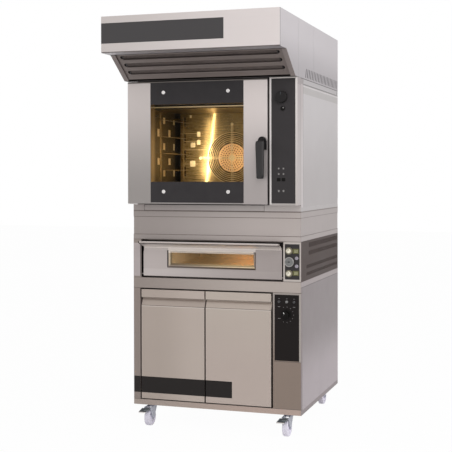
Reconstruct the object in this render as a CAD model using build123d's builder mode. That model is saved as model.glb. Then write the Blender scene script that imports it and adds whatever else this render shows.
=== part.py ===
"""Stacked bakery oven on castors.

From the floor up: four castors, a two-door proving cabinet, a single-deck stone oven,
a spacer, a convection oven with a glass door, and an extraction hood with a duct collar.

Frame, in millimetres: +Z up, the front faces -Y, +X to the right of someone who stands in front.
The origin is on the floor, under the middle of the overall box.
"""

import os
from math import pi, sqrt

from build123d import *

os.makedirs("parts", exist_ok=True)

# ---------------------------------------------------------------- driving dimensions
WIDTH = 1010.0           # every module is this wide
BODY_DEPTH = 900.0       # cabinet, deck oven and spacer, front to back
HOOD_OVERHANG = 410.0    # hood fascia in front of the body
DOOR_STANDOFF = 75.0     # convection door and column in front of the body

CASTOR_HEIGHT = 125.0
CABINET_HEIGHT = 680.0
BAND_HEIGHT = 60.0       # front band on top of the cabinet
DECK_HEIGHT = 225.0
SPACER_HEIGHT = 164.0
BASE_HEIGHT = 39.0       # drip tray row under the convection oven
OVEN_HEIGHT = 702.0
HOOD_HEIGHT = 323.0

SHEET = 1.5              # folded stainless sheet
PLATE = 3.0              # load-bearing plate
SEAM = 0.2               # gap where two sheets butt
TOUCH = 0.3              # clearance between a moving or loose piece and its seat
RUNNING = 0.05           # radial clearance of a shaft in its hole
REAR_RECESS = 15.0       # back panels sit this far inside the side panels

HALF = WIDTH / 2
TOTAL_DEPTH = BODY_DEPTH + HOOD_OVERHANG
Y_FASCIA = -TOTAL_DEPTH / 2
Y_FRONT = Y_FASCIA + HOOD_OVERHANG
Y_OVEN = Y_FRONT - DOOR_STANDOFF
Y_REAR = TOTAL_DEPTH / 2
Y_BACK = Y_REAR - REAR_RECESS

Z_CABINET = CASTOR_HEIGHT
Z_BAND = Z_CABINET + CABINET_HEIGHT
Z_DECK = Z_BAND + BAND_HEIGHT
Z_SPACER = Z_DECK + DECK_HEIGHT
Z_BASE = Z_SPACER + SPACER_HEIGHT
Z_OVEN = Z_BASE + BASE_HEIGHT
Z_HOOD = Z_OVEN + OVEN_HEIGHT
Z_TOP = Z_HOOD + HOOD_HEIGHT

CORNER_POST = 25.0       # side return of the front stiles, seen as a seam on the side panels


# ---------------------------------------------------------------- small builders
def front_plane(y):
    """Sketch plane that faces the front: local x is +X, local y is +Z."""
    return Plane(origin=(0, y, 0), x_dir=(1, 0, 0), z_dir=(0, -1, 0))


def slab(x, y, z, mode=Mode.ADD):
    """Block between two limits on each axis."""
    middle = ((x[0] + x[1]) / 2, (y[0] + y[1]) / 2, (z[0] + z[1]) / 2)
    with Locations(middle):
        Box(x[1] - x[0], y[1] - y[0], z[1] - z[0], mode=mode)


def rod_x(x, y, z, radius, mode=Mode.ADD):
    """Round bar along X between x[0] and x[1]."""
    with Locations(Location(((x[0] + x[1]) / 2, y, z), (0, 90, 0))):
        Cylinder(radius, x[1] - x[0], mode=mode)


def rod_y(x, y, z, radius, mode=Mode.ADD):
    """Round bar along Y between y[0] and y[1]."""
    with Locations(Location((x, (y[0] + y[1]) / 2, z), (90, 0, 0))):
        Cylinder(radius, y[1] - y[0], mode=mode)


def rod_z(x, y, z, radius, mode=Mode.ADD):
    """Round bar along Z between z[0] and z[1]."""
    with Locations((x, y, (z[0] + z[1]) / 2)):
        Cylinder(radius, z[1] - z[0], mode=mode)


def sheet_box(x, y, z, t, faces):
    """Sheets on the named faces of a box, inside its limits, with a seam where they butt."""
    gap = t + SEAM
    z_low = z[0] + (gap if "bottom" in faces else 0)
    z_high = z[1] - (gap if "top" in faces else 0)
    x_low = x[0] + (gap if "left" in faces else 0)
    x_high = x[1] - (gap if "right" in faces else 0)
    if "bottom" in faces:
        slab(x, y, (z[0], z[0] + t))
    if "top" in faces:
        slab(x, y, (z[1] - t, z[1]))
    if "left" in faces:
        slab((x[0], x[0] + t), y, (z_low, z_high))
    if "right" in faces:
        slab((x[1] - t, x[1]), y, (z_low, z_high))
    if "front" in faces:
        slab((x_low, x_high), (y[0], y[0] + t), (z_low, z_high))
    if "back" in faces:
        slab((x_low, x_high), (y[1] - t, y[1]), (z_low, z_high))


def face_frame(x, z, mouth_x, mouth_z, y):
    """Flat front of a box around a rectangular mouth, as four sheets."""
    slab((x[0], mouth_x[0]), y, z)
    slab((mouth_x[1], x[1]), y, z)
    inner = (mouth_x[0] + SEAM, mouth_x[1] - SEAM)
    slab(inner, y, (z[0], mouth_z[0]))
    slab(inner, y, (mouth_z[1], z[1]))


def finish(builder, name):
    """Label a finished piece and write it."""
    builder.part.label = name
    export_step(builder.part, f"parts/{name}.step")


# ================================================================ castors
WHEEL_RADIUS = 50.0
WHEEL_WIDTH = 32.0
WHEEL_ROUND = 5.0
HUB_RECESS = 4.0
HUB_RADIUS = 16.0
RIM_RADIUS = 38.0
AXLE_RADIUS = 5.0
TRAIL = 35.0                 # wheel axle behind the swivel axis
CASTOR_INSET_X = 89.0
CASTOR_INSET_FRONT = 62.0
CASTOR_INSET_REAR = 90.0
CASTOR_PLATE = (90.0, 78.0, 4.0)
RACE_RADIUS = 29.0
RACE_HEIGHT = 8.0
KINGPIN_RADIUS = 6.0
KINGPIN_LENGTH = 5.0
BOLT_RADIUS = 4.0
BOLT_HEAD = 3.0
BOLT_SPACING = (72.0, 60.0)
CROWN_RADIUS = 27.0
CROWN_HEIGHT = 6.0
FORK_SHEET = 3.0
FORK_GAP = 2.0               # between the wheel and each fork leg
FORK_HEEL = 16.0             # legs' edge beyond the swivel axis
PEDAL_REACH = 31.0           # pedal pivot in front of the wheel axle
PEDAL_PIN_RADIUS = 3.0
PEDAL_LENGTH = 27.0
PEDAL_THICK = 4.0
PEDAL_WIDTH = 28.0

castor_x = HALF - CASTOR_INSET_X
front_castor_y = Y_FRONT + CASTOR_INSET_FRONT
rear_castor_y = Y_REAR - CASTOR_INSET_REAR
CASTORS = {
    "front_left": (-castor_x, front_castor_y, -1),
    "front_right": (castor_x, front_castor_y, -1),
    "rear_left": (-castor_x, rear_castor_y, 1),
    "rear_right": (castor_x, rear_castor_y, 1),
}
z_plate = Z_CABINET - CASTOR_PLATE[2]
z_race = z_plate - RACE_HEIGHT
z_crown = z_race - TOUCH - CROWN_HEIGHT
pedal_z = z_crown - PEDAL_PIN_RADIUS - 2 * TOUCH

with BuildPart() as castor_plates:
    for cx, cy, way in CASTORS.values():
        slab((cx - CASTOR_PLATE[0] / 2, cx + CASTOR_PLATE[0] / 2),
             (cy - CASTOR_PLATE[1] / 2, cy + CASTOR_PLATE[1] / 2), (z_plate, Z_CABINET))
        rod_z(cx, cy, (z_race, z_plate), RACE_RADIUS)
        rod_z(cx, cy, (z_race - KINGPIN_LENGTH, z_race), KINGPIN_RADIUS)
        with Locations((cx, cy, z_plate - BOLT_HEAD / 2)):
            with GridLocations(BOLT_SPACING[0], BOLT_SPACING[1], 2, 2):
                Cylinder(BOLT_RADIUS, BOLT_HEAD)
finish(castor_plates, "castor_plates")

for name, (cx, cy, way) in CASTORS.items():
    axle_y = cy + way * TRAIL
    leg_in = WHEEL_WIDTH / 2 + FORK_GAP
    leg_out = leg_in + FORK_SHEET
    braked = name.startswith("front")
    pedal_y = axle_y + way * PEDAL_REACH

    with BuildPart() as fork:
        rod_z(cx, cy, (z_crown, z_race - TOUCH), CROWN_RADIUS)
        for side in (-1, 1):
            leg_plane = Plane.YZ.offset(cx + (leg_in if side > 0 else -leg_out))
            with BuildSketch(leg_plane) as leg:
                with BuildLine():
                    nose = pedal_y if braked else axle_y
                    Polyline(
                        (cy - way * FORK_HEEL, z_race - TOUCH),
                        (nose + way * PEDAL_PIN_RADIUS * 2, z_race - TOUCH),
                        (nose + way * PEDAL_PIN_RADIUS * 2, pedal_z - PEDAL_PIN_RADIUS),
                        (axle_y + way * AXLE_RADIUS * 2, WHEEL_RADIUS - AXLE_RADIUS * 2),
                        (axle_y - way * AXLE_RADIUS * 2, WHEEL_RADIUS - AXLE_RADIUS * 2),
                        (cy - way * FORK_HEEL, z_crown - CROWN_HEIGHT),
                        close=True,
                    )
                make_face()
            extrude(amount=FORK_SHEET)
        rod_x((cx - leg_out - FORK_SHEET, cx + leg_out + FORK_SHEET), axle_y, WHEEL_RADIUS, AXLE_RADIUS)
        rod_z(cx, cy, (z_crown, z_race), KINGPIN_RADIUS + RUNNING, mode=Mode.SUBTRACT)
        if braked:
            rod_x((cx - leg_out, cx + leg_out), pedal_y, pedal_z, PEDAL_PIN_RADIUS)
    finish(fork, f"{name}_fork")

    with BuildPart() as wheel:
        rod_x((cx - WHEEL_WIDTH / 2, cx + WHEEL_WIDTH / 2), axle_y, WHEEL_RADIUS, WHEEL_RADIUS)
        fillet(wheel.edges().filter_by(GeomType.CIRCLE), WHEEL_ROUND)
        for end in (-1, 1):
            recess = sorted((cx + end * WHEEL_WIDTH / 2, cx + end * (WHEEL_WIDTH / 2 - HUB_RECESS)))
            rod_x(recess, axle_y, WHEEL_RADIUS, RIM_RADIUS, mode=Mode.SUBTRACT)
            rod_x(recess, axle_y, WHEEL_RADIUS, HUB_RADIUS)
        rod_x((cx - WHEEL_WIDTH, cx + WHEEL_WIDTH), axle_y, WHEEL_RADIUS, AXLE_RADIUS + RUNNING,
              mode=Mode.SUBTRACT)
    finish(wheel, f"{name}_wheel")

    if braked:
        with BuildPart() as pedal:
            tip_y = pedal_y + way * PEDAL_LENGTH
            with BuildSketch(Plane.YZ.offset(cx - PEDAL_WIDTH / 2)) as pedal_profile:
                with BuildLine():
                    Polyline(
                        (pedal_y - way * PEDAL_THICK, pedal_z + PEDAL_THICK),
                        (pedal_y + way * PEDAL_THICK, pedal_z + PEDAL_THICK),
                        (tip_y, pedal_z - PEDAL_THICK),
                        (tip_y, pedal_z - 2 * PEDAL_THICK),
                        (pedal_y + way * PEDAL_THICK, pedal_z - PEDAL_THICK),
                        (pedal_y - way * PEDAL_THICK, pedal_z - PEDAL_THICK),
                        close=True,
                    )
                make_face()
            extrude(amount=PEDAL_WIDTH)
            rod_x((cx - PEDAL_WIDTH, cx + PEDAL_WIDTH), pedal_y, pedal_z, PEDAL_PIN_RADIUS + RUNNING,
                  mode=Mode.SUBTRACT)
        finish(pedal, f"{name}_brake_pedal")

# ================================================================ proving cabinet
PLINTH_FRONT = 32.0          # bottom strip seen from the front
PLINTH_SIDE = 25.0           # and from the side
BAND_SIDE = 32.0             # side return of the top band
STILE_WIDTH = 41.0           # left of the doors
CABINET_COLUMN = 163.0       # control column, right of the doors
COLUMN_SPLIT_Z = 421.0       # seam between the two column panels
RETURN_DEPTH = 40.0          # folded depth of the front frame
DOOR_THICK = 35.0
DOOR_SIDE_GAP = 8.0
DOOR_COLUMN_GAP = 11.0
DOOR_TOP_GAP = 8.0
DOOR_BOTTOM_GAP = 5.0
DOOR_SKIN = 1.2
GRIP_LOW = 541.0             # start of the finger channel above the door's bottom edge
GRIP_HIGH = 587.0
GRIP_DEPTH = 20.0
GRIP_TOP_FLAT = 6.0
PIVOT_INSET = 8.0            # hinge axis from the door's outer front corner
PIVOT_RADIUS = 3.5
PIVOT_LENGTH = 14.0
PIVOT_BLOCK = 9.0
CHAMBER_REAR = 55.0          # space between the proving chamber and the back panel
CONTROL_PLATE = 1.5
CABINET_PLATE_X = (352.0, 493.0)
CABINET_PLATE_Z = (426.0, 794.0)
CABINET_KNOB = (419.0, 683.5)
LAMP_ROW_Z = 755.0
CABINET_LAMPS_X = (378.0, 422.5, 465.0)

open_x = (-HALF + STILE_WIDTH, HALF - CABINET_COLUMN)
open_z = (Z_CABINET + PLINTH_FRONT, Z_BAND)
door_width = (open_x[1] - open_x[0] - 2 * DOOR_SIDE_GAP - DOOR_COLUMN_GAP) / 2
left_door_x = (open_x[0] + DOOR_SIDE_GAP, open_x[0] + DOOR_SIDE_GAP + door_width)
right_door_x = (open_x[1] - DOOR_COLUMN_GAP - door_width, open_x[1] - DOOR_COLUMN_GAP)
door_z = (open_z[0] + DOOR_BOTTOM_GAP, open_z[1] - DOOR_TOP_GAP)
pivot_y = Y_FRONT + PIVOT_INSET
left_pivot_x = left_door_x[0] + PIVOT_INSET
right_pivot_x = right_door_x[1] - PIVOT_INSET
frame_back = Y_FRONT + RETURN_DEPTH
floor_top = Z_CABINET + PLATE

KNOB_SHAFT = 3.0
KNOB_SHAFT_LENGTH = 12.0

with BuildPart() as cabinet_frame:
    # floor plate, plinth strips and the inner flange that carries the lower hinge pins
    slab((-HALF + SHEET + SEAM, HALF - SHEET - SEAM), (Y_FRONT + SHEET + SEAM, Y_BACK), (Z_CABINET, floor_top))
    slab((-HALF, HALF), (Y_FRONT, Y_FRONT + SHEET), (Z_CABINET, open_z[0]))
    for side in (-1, 1):
        strip = sorted((side * HALF, side * (HALF - SHEET)))
        slab(strip, (Y_FRONT + SHEET + SEAM, Y_REAR), (Z_CABINET, Z_CABINET + PLINTH_SIDE))
    sill_z = (open_z[0] - SHEET, open_z[0])
    slab(open_x, (Y_FRONT + SHEET + SEAM, frame_back - SEAM), sill_z)
    for cross_y in (Y_FRONT + SHEET + SEAM, frame_back - SEAM - SHEET):
        slab(open_x, (cross_y, cross_y + SHEET), (floor_top, sill_z[0] - SEAM))
    # left stile and control column: front, outer return and inner return
    stile_z = (open_z[0] + SEAM, Z_BAND - SEAM)
    slab((-HALF, open_x[0]), (Y_FRONT, Y_FRONT + SHEET), stile_z)
    slab((open_x[0] - SHEET, open_x[0]), (Y_FRONT + SHEET + SEAM, frame_back), stile_z)
    slab((open_x[1], open_x[1] + SHEET), (Y_FRONT + SHEET + SEAM, frame_back), stile_z)
    slab((open_x[1], HALF), (Y_FRONT, Y_FRONT + SHEET), (stile_z[0], COLUMN_SPLIT_Z - SHEET / 2))
    slab((open_x[1], HALF), (Y_FRONT, Y_FRONT + SHEET), (COLUMN_SPLIT_Z + SHEET / 2, stile_z[1]))
    for side in (-1, 1):
        post = sorted((side * HALF, side * (HALF - SHEET)))
        slab(post, (Y_FRONT + SHEET + SEAM, Y_FRONT + CORNER_POST),
             (Z_CABINET + PLINTH_SIDE + SEAM, Z_DECK - BAND_SIDE - SEAM))
    # top band: front, side returns, top plate, and the lintel that carries the upper hinge pins
    slab((-HALF, HALF), (Y_FRONT, Y_FRONT + SHEET), (Z_BAND, Z_DECK))
    for side in (-1, 1):
        strip = sorted((side * HALF, side * (HALF - SHEET)))
        slab(strip, (Y_FRONT + SHEET + SEAM, Y_REAR), (Z_DECK - BAND_SIDE, Z_DECK))
    slab((-HALF + SHEET + SEAM, HALF - SHEET - SEAM), (Y_FRONT + SHEET + SEAM, Y_BACK), (Z_DECK - PLATE, Z_DECK))
    lintel_z = (Z_BAND, Z_BAND + SHEET)
    slab(open_x, (Y_FRONT + SHEET + SEAM, frame_back - SEAM), lintel_z)
    for pivot_x in (left_pivot_x, right_pivot_x):
        rod_z(pivot_x, pivot_y, (sill_z[0], sill_z[1] + PIVOT_LENGTH), PIVOT_RADIUS)
        rod_z(pivot_x, pivot_y, (lintel_z[0] - PIVOT_LENGTH, lintel_z[1]), PIVOT_RADIUS)
    rod_y(CABINET_KNOB[0], (Y_FRONT, Y_FRONT + SHEET), CABINET_KNOB[1], KNOB_SHAFT + RUNNING,
          mode=Mode.SUBTRACT)
finish(cabinet_frame, "cabinet_frame")

GLAND_RADIUS = 12.0
GLAND_LENGTH = 12.0
GLAND_NUT = 16.0


def cable_gland(x, z):
    """Gland for a supply cable on a back panel."""
    rod_y(x, (Y_BACK, Y_BACK + GLAND_LENGTH / 2), z, GLAND_NUT)
    rod_y(x, (Y_BACK, Y_BACK + GLAND_LENGTH), z, GLAND_RADIUS)


with BuildPart() as cabinet_panels:
    panel_z = (Z_CABINET + PLINTH_SIDE + SEAM, Z_DECK - BAND_SIDE - SEAM)
    for side in (-1, 1):
        strip = sorted((side * HALF, side * (HALF - SHEET)))
        slab(strip, (Y_FRONT + CORNER_POST + SHEET, Y_REAR), panel_z)
    slab((-HALF + SHEET + SEAM, HALF - SHEET - SEAM), (Y_BACK - SHEET, Y_BACK), (floor_top + SEAM, Z_DECK - PLATE - SEAM))
    cable_gland(HALF - CABINET_COLUMN / 2, Z_CABINET + 2 * PLINTH_SIDE)
finish(cabinet_panels, "cabinet_panels")

chamber_x = open_x
chamber_y = (frame_back + SEAM, Y_BACK - CHAMBER_REAR)
chamber_z = (open_z[0], Z_BAND)
with BuildPart() as proving_chamber:
    sheet_box(chamber_x, chamber_y, chamber_z, SHEET, "bottom top left right back")
finish(proving_chamber, "proving_chamber")

TRAY_WIDTH = 600.0           # bakery tray, carried across
RACK_CLEAR = 3.0             # each side of a tray
RACK_POST = 18.0
RACK_SHEET = 2.0
RUNNER_WIDTH = 22.0
PROVING_LEVELS = 6
PROVING_RACK_Y = (60.0, 560.0)     # from the chamber's front edge
PROVING_RACK_Z = (30.0, 600.0)


def tray_rack(middle_x, wall_x, y, z, levels, low):
    """Pair of tray racks: two posts a side, level runners, and feet that hook on the walls."""
    post_x = (TRAY_WIDTH / 2 + RACK_CLEAR, TRAY_WIDTH / 2 + RACK_CLEAR + RACK_SHEET)
    pitch = (z[1] - z[0] - 2 * low) / (levels - 1)
    for side in (-1, 1):
        outer = sorted((middle_x + side * post_x[0], middle_x + side * post_x[1]))
        ledge = sorted((middle_x + side * (post_x[0] - SEAM),
                        middle_x + side * (post_x[0] - RUNNER_WIDTH)))
        for post_y in (y[0], y[1] - RACK_POST):
            slab(outer, (post_y, post_y + RACK_POST), z)
            wall = wall_x[0] if side < 0 else wall_x[1]
            hook = sorted((wall, middle_x + side * post_x[1]))
            for hook_z in (z[0] + RACK_POST, z[1] - RACK_POST):
                rod_x(hook, post_y + RACK_POST / 2, hook_z, RACK_POST / 4)
        for level in range(levels):
            runner_z = z[0] + low + level * pitch
            slab(ledge, y, (runner_z, runner_z + RACK_SHEET))


proving_wall_x = (chamber_x[0] + SHEET, chamber_x[1] - SHEET)
proving_middle = (chamber_x[0] + chamber_x[1]) / 2
rack_y = (chamber_y[0] + PROVING_RACK_Y[0], chamber_y[0] + PROVING_RACK_Y[1])
rack_z = (chamber_z[0] + PROVING_RACK_Z[0], chamber_z[0] + PROVING_RACK_Z[1])
with BuildPart() as proving_racks:
    tray_rack(proving_middle, proving_wall_x, rack_y, rack_z, PROVING_LEVELS, PROVING_RACK_Z[0])
finish(proving_racks, "proving_racks")

PAN_SIZE = (300.0, 180.0, 40.0)
PAN_LIFT = 20.0
PAN_FOOT = 16.0
PAN_MIDDLE_Y = 500.0         # from the chamber's front edge
pan_x = (proving_middle - PAN_SIZE[0] / 2, proving_middle + PAN_SIZE[0] / 2)
pan_y = (chamber_y[0] + PAN_MIDDLE_Y - PAN_SIZE[1] / 2, chamber_y[0] + PAN_MIDDLE_Y + PAN_SIZE[1] / 2)
pan_z = (chamber_z[0] + SHEET + PAN_LIFT, chamber_z[0] + SHEET + PAN_LIFT + PAN_SIZE[2])
with BuildPart() as water_pan:
    sheet_box(pan_x, pan_y, pan_z, SHEET, "bottom left right front back")
    for foot_x in (pan_x[0] + PAN_FOOT / 2, pan_x[1] - PAN_FOOT / 2):
        for foot_y in (pan_y[0] + PAN_FOOT / 2, pan_y[1] - PAN_FOOT / 2):
            rod_z(foot_x, foot_y, (chamber_z[0] + SHEET, pan_z[0]), PAN_FOOT / 2)
finish(water_pan, "water_pan")


def cabinet_door(x, pivot_x):
    """Double-skin door with a finger channel across its top and pivot holes in its end caps."""
    with BuildPart() as door:
        bottom, top = door_z
        with BuildSketch(Plane.YZ.offset(x[0])):
            with BuildLine():
                Polyline(
                    (Y_FRONT, bottom),
                    (Y_FRONT, bottom + GRIP_LOW),
                    (Y_FRONT + GRIP_DEPTH, bottom + GRIP_HIGH - GRIP_TOP_FLAT),
                    (Y_FRONT + GRIP_DEPTH, bottom + GRIP_HIGH),
                    (Y_FRONT, bottom + GRIP_HIGH),
                    (Y_FRONT, top),
                    (Y_FRONT + DOOR_THICK, top),
                    (Y_FRONT + DOOR_THICK, bottom),
                    close=True,
                )
            make_face()
        extrude(amount=x[1] - x[0])
        # hollow inside, open at the back for the inner pan
        with BuildSketch(Plane.YZ.offset(x[0] + DOOR_SKIN)):
            with BuildLine():
                Polyline(
                    (Y_FRONT + DOOR_SKIN, bottom + DOOR_SKIN),
                    (Y_FRONT + DOOR_SKIN, bottom + GRIP_LOW - DOOR_SKIN),
                    (Y_FRONT + GRIP_DEPTH + DOOR_SKIN, bottom + GRIP_HIGH - GRIP_TOP_FLAT - DOOR_SKIN),
                    (Y_FRONT + GRIP_DEPTH + DOOR_SKIN, bottom + GRIP_HIGH + DOOR_SKIN),
                    (Y_FRONT + DOOR_SKIN, bottom + GRIP_HIGH + DOOR_SKIN),
                    (Y_FRONT + DOOR_SKIN, top - DOOR_SKIN),
                    (Y_FRONT + DOOR_THICK, top - DOOR_SKIN),
                    (Y_FRONT + DOOR_THICK, bottom + DOOR_SKIN),
                    close=True,
                )
            make_face()
        extrude(amount=x[1] - x[0] - 2 * DOOR_SKIN, mode=Mode.SUBTRACT)
        block_x = (x[0], x[0] + 2 * PIVOT_INSET) if pivot_x < (x[0] + x[1]) / 2 else (x[1] - 2 * PIVOT_INSET, x[1])
        for end_z in ((bottom, bottom + PIVOT_BLOCK), (top - PIVOT_BLOCK, top)):
            slab(block_x, (Y_FRONT, Y_FRONT + 2 * PIVOT_INSET), end_z)
        for end_z in ((bottom - 1, bottom + PIVOT_LENGTH), (top - PIVOT_LENGTH, top + 1)):
            rod_z(pivot_x, pivot_y, end_z, PIVOT_RADIUS + RUNNING, mode=Mode.SUBTRACT)
        inner = DOOR_SKIN + SEAM
        slab((x[0] + inner, x[1] - inner), (Y_FRONT + DOOR_THICK - DOOR_SKIN, Y_FRONT + DOOR_THICK),
             (bottom + inner, top - inner))
    return door


left_door = cabinet_door(left_door_x, left_pivot_x)
finish(left_door, "left_door")
right_door = cabinet_door(right_door_x, right_pivot_x)
finish(right_door, "right_door")

with BuildPart() as cabinet_control_plate:
    slab(CABINET_PLATE_X, (Y_FRONT - CONTROL_PLATE, Y_FRONT), CABINET_PLATE_Z)
    rod_y(CABINET_KNOB[0], (Y_FRONT - CONTROL_PLATE, Y_FRONT), CABINET_KNOB[1], KNOB_SHAFT + RUNNING,
          mode=Mode.SUBTRACT)
finish(cabinet_control_plate, "cabinet_control_plate")


KNOB_CROWN = 2.0             # rounding of a knob's cap
BAR_INSET = 1.0              # grip bar inside the cap's edge


def control_knob(x, z, face_y, size, bar=None):
    """Round knob with a skirt, a cap that may carry a grip bar, and a shaft through the plate behind it."""
    radius, skirt, cap, height = size
    with BuildPart() as knob:
        seat = face_y - TOUCH
        rod_y(x, (seat - skirt, seat), z, radius)
        rod_y(x, (seat - height, seat - skirt), z, cap)
        crown = knob.faces().sort_by(Axis.Y)[0].edges()
        fillet(crown, min(KNOB_CROWN, (height - skirt) / 3))
        if bar:
            bar_width, bar_proud = bar
            slab((x - bar_width / 2, x + bar_width / 2), (seat - height - bar_proud, seat - skirt),
                 (z - cap + BAR_INSET, z + cap - BAR_INSET))
        rod_y(x, (seat, face_y + KNOB_SHAFT_LENGTH), z, KNOB_SHAFT)
    return knob


CABINET_KNOB_SIZE = (29.0, 4.0, 18.0, 18.0)    # skirt radius and height, cap radius and overall height
CABINET_KNOB_BAR = (9.0, 2.0)
cabinet_knob = control_knob(CABINET_KNOB[0], CABINET_KNOB[1], Y_FRONT - CONTROL_PLATE, CABINET_KNOB_SIZE,
                            CABINET_KNOB_BAR)
finish(cabinet_knob, "cabinet_knob")

# ================================================================ deck oven
DECK_STILE = 48.0
DECK_COLUMN = 103.0          # control column, right of the door
DECK_DOOR_GAP = 10.0
DECK_DOOR_LIFT = 11.0        # door's bottom edge above the module's floor
DECK_DOOR_HEIGHT = 179.0
DECK_DOOR_THICK = 40.0
DECK_DOOR_RECESS = 10.0
DECK_FACE_GAP = 4.0          # between the closed door and the chamber's face plate
DECK_PIVOT = (10.0, 10.0)    # hinge axis behind the door's face and above its bottom edge
DECK_PIN_RADIUS = 5.0
WINDOW_SIZE = (530.0, 97.0)  # outside of the bezel
WINDOW_LIFT = 52.0           # bezel above the door's bottom edge
BEZEL_PROUD = 3.0
BEZEL_WIDTH = 12.0
BEZEL_DEPTH = 9.0
DECK_GLASS_THICK = 5.0
CHAMBER_SIZE = (720.0, 720.0, 140.0)
CHAMBER_LIFT = 40.0          # chamber floor above the module's floor
STONE_THICK = 17.0
STONE_CLEAR = 1.5
HANDLE_PROUD = 66.0          # handle lip in front of the body
HANDLE_LIP = 9.0
HANDLE_HEM = 14.0
HANDLE_SHEET = 2.0
HANDLE_ROOT = 15.0           # handle flange below the door's top edge
HANDLE_TOP_GAP = 10.0        # below the module's top
DECK_PLATE_X = (412.0, 496.0)
DECK_PLATE_MARGIN = (15.0, 14.0)
DECK_KNOB_X = 435.5
DECK_KNOBS_Z = (174.0, 48.0)       # above the module's floor
DECK_KNOB_SIZE = (20.0, 4.0, 12.5, 15.0)    # skirt radius and height, cap radius and overall height
DECK_KNOB_BAR = (6.5, 2.0)
DECK_DIAL = (437.0, 112.0)
DIAL_RADIUS = 27.0
DIAL_DEPTH = 7.0
DIAL_RIM = 3.5
NEEDLE_PIN = 2.0
DECK_LAMP_X = 480.0
DECK_LAMPS_Z = (134.0, 89.5)
VENT_SLOT = (7.0, 14.0)      # slot width and pitch

deck_open_x = (-HALF + DECK_STILE, HALF - DECK_COLUMN)
deck_door_x = (deck_open_x[0] + DECK_DOOR_GAP, deck_open_x[1] - DECK_DOOR_GAP)
deck_door_y = (Y_FRONT + DECK_DOOR_RECESS, Y_FRONT + DECK_DOOR_RECESS + DECK_DOOR_THICK)
deck_door_z = (Z_DECK + DECK_DOOR_LIFT, Z_DECK + DECK_DOOR_LIFT + DECK_DOOR_HEIGHT)
deck_pivot_y = deck_door_y[0] + DECK_PIVOT[0]
deck_pivot_z = deck_door_z[0] + DECK_PIVOT[1]
deck_middle = (deck_open_x[0] + deck_open_x[1]) / 2
deck_face_y = deck_door_y[1] + DECK_FACE_GAP
deck_return = (Y_FRONT + SHEET + SEAM, deck_face_y)
baking_x = (deck_middle - CHAMBER_SIZE[0] / 2, deck_middle + CHAMBER_SIZE[0] / 2)
baking_y = (deck_face_y + SHEET + SEAM, deck_face_y + SHEET + SEAM + CHAMBER_SIZE[1])
baking_z = (Z_DECK + CHAMBER_LIFT, Z_DECK + CHAMBER_LIFT + CHAMBER_SIZE[2])

with BuildPart() as deck_casing:
    inside_x = (-HALF + SHEET + SEAM, HALF - SHEET - SEAM)
    slab(inside_x, (Y_FRONT + SHEET + SEAM, Y_BACK), (Z_DECK, Z_DECK + SHEET))
    slab(inside_x, (Y_FRONT + SHEET + SEAM, Y_BACK), (Z_SPACER - SHEET, Z_SPACER))
    inner_z = (Z_DECK + SHEET + SEAM, Z_SPACER - SHEET - SEAM)
    slab(inside_x, (Y_BACK - SHEET, Y_BACK), inner_z)
    # front stile and column with their inner returns, which carry the door's pins
    slab((-HALF, deck_open_x[0]), (Y_FRONT, Y_FRONT + SHEET), (Z_DECK, Z_SPACER))
    slab((deck_open_x[1], HALF), (Y_FRONT, Y_FRONT + SHEET), (Z_DECK, Z_SPACER))
    slab((deck_open_x[0] - SHEET, deck_open_x[0]), deck_return, inner_z)
    slab((deck_open_x[1], deck_open_x[1] + SHEET), deck_return, inner_z)
    for return_x in ((deck_open_x[0] - SHEET, deck_open_x[0]), (deck_open_x[1], deck_open_x[1] + SHEET)):
        rod_x(return_x, deck_pivot_y, deck_pivot_z, DECK_PIN_RADIUS + RUNNING, mode=Mode.SUBTRACT)
    # face plate around the mouth of the baking chamber
    face_frame((deck_open_x[0] - SHEET, deck_open_x[1] + SHEET), inner_z, baking_x, baking_z,
               (deck_face_y + SEAM, deck_face_y + SEAM + SHEET))
    for knob_z in DECK_KNOBS_Z:
        rod_y(DECK_KNOB_X, (Y_FRONT, Y_FRONT + SHEET), Z_DECK + knob_z, KNOB_SHAFT + RUNNING,
              mode=Mode.SUBTRACT)
    cable_gland(HALF - DECK_COLUMN, Z_DECK + CHAMBER_LIFT)
finish(deck_casing, "deck_casing")

VENT_ROWS = (                # centre height, slot height, first and last slot from the body's front
    (197.0, 26.0, 166.0, 880.0),
    (152.0, 24.0, 166.0, 880.0),
    (77.0, 20.0, 110.0, 890.0),
    (36.0, 18.0, 110.0, 890.0),
)
with BuildPart() as deck_vent_panels:
    for side in (-1, 1):
        strip = sorted((side * HALF, side * (HALF - SHEET)))
        slab(strip, (Y_FRONT + SHEET + SEAM, Y_REAR), (Z_DECK + SEAM, Z_SPACER - SEAM))
    with BuildSketch(Plane.YZ.offset(-HALF)):
        for height, tall, first, last in VENT_ROWS:
            count = int((last - first) / VENT_SLOT[1])
            with Locations((Y_FRONT + (first + last) / 2, Z_DECK + height)):
                with GridLocations(VENT_SLOT[1], 0, count, 1):
                    Rectangle(VENT_SLOT[0], tall)
    extrude(amount=WIDTH, mode=Mode.SUBTRACT)
finish(deck_vent_panels, "deck_vent_panels")

with BuildPart() as baking_chamber:
    sheet_box((baking_x[0] - SHEET, baking_x[1] + SHEET), baking_y,
              (baking_z[0] - SHEET, baking_z[1] + SHEET), SHEET, "bottom top left right back")
finish(baking_chamber, "baking_chamber")

with BuildPart() as baking_stones:
    for stone_x in ((baking_x[0] + STONE_CLEAR, deck_middle - SEAM), (deck_middle + SEAM, baking_x[1] - STONE_CLEAR)):
        slab(stone_x, (baking_y[0] + STONE_CLEAR, baking_y[1] - SHEET - STONE_CLEAR),
             (baking_z[0], baking_z[0] + STONE_THICK))
finish(baking_stones, "baking_stones")

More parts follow.
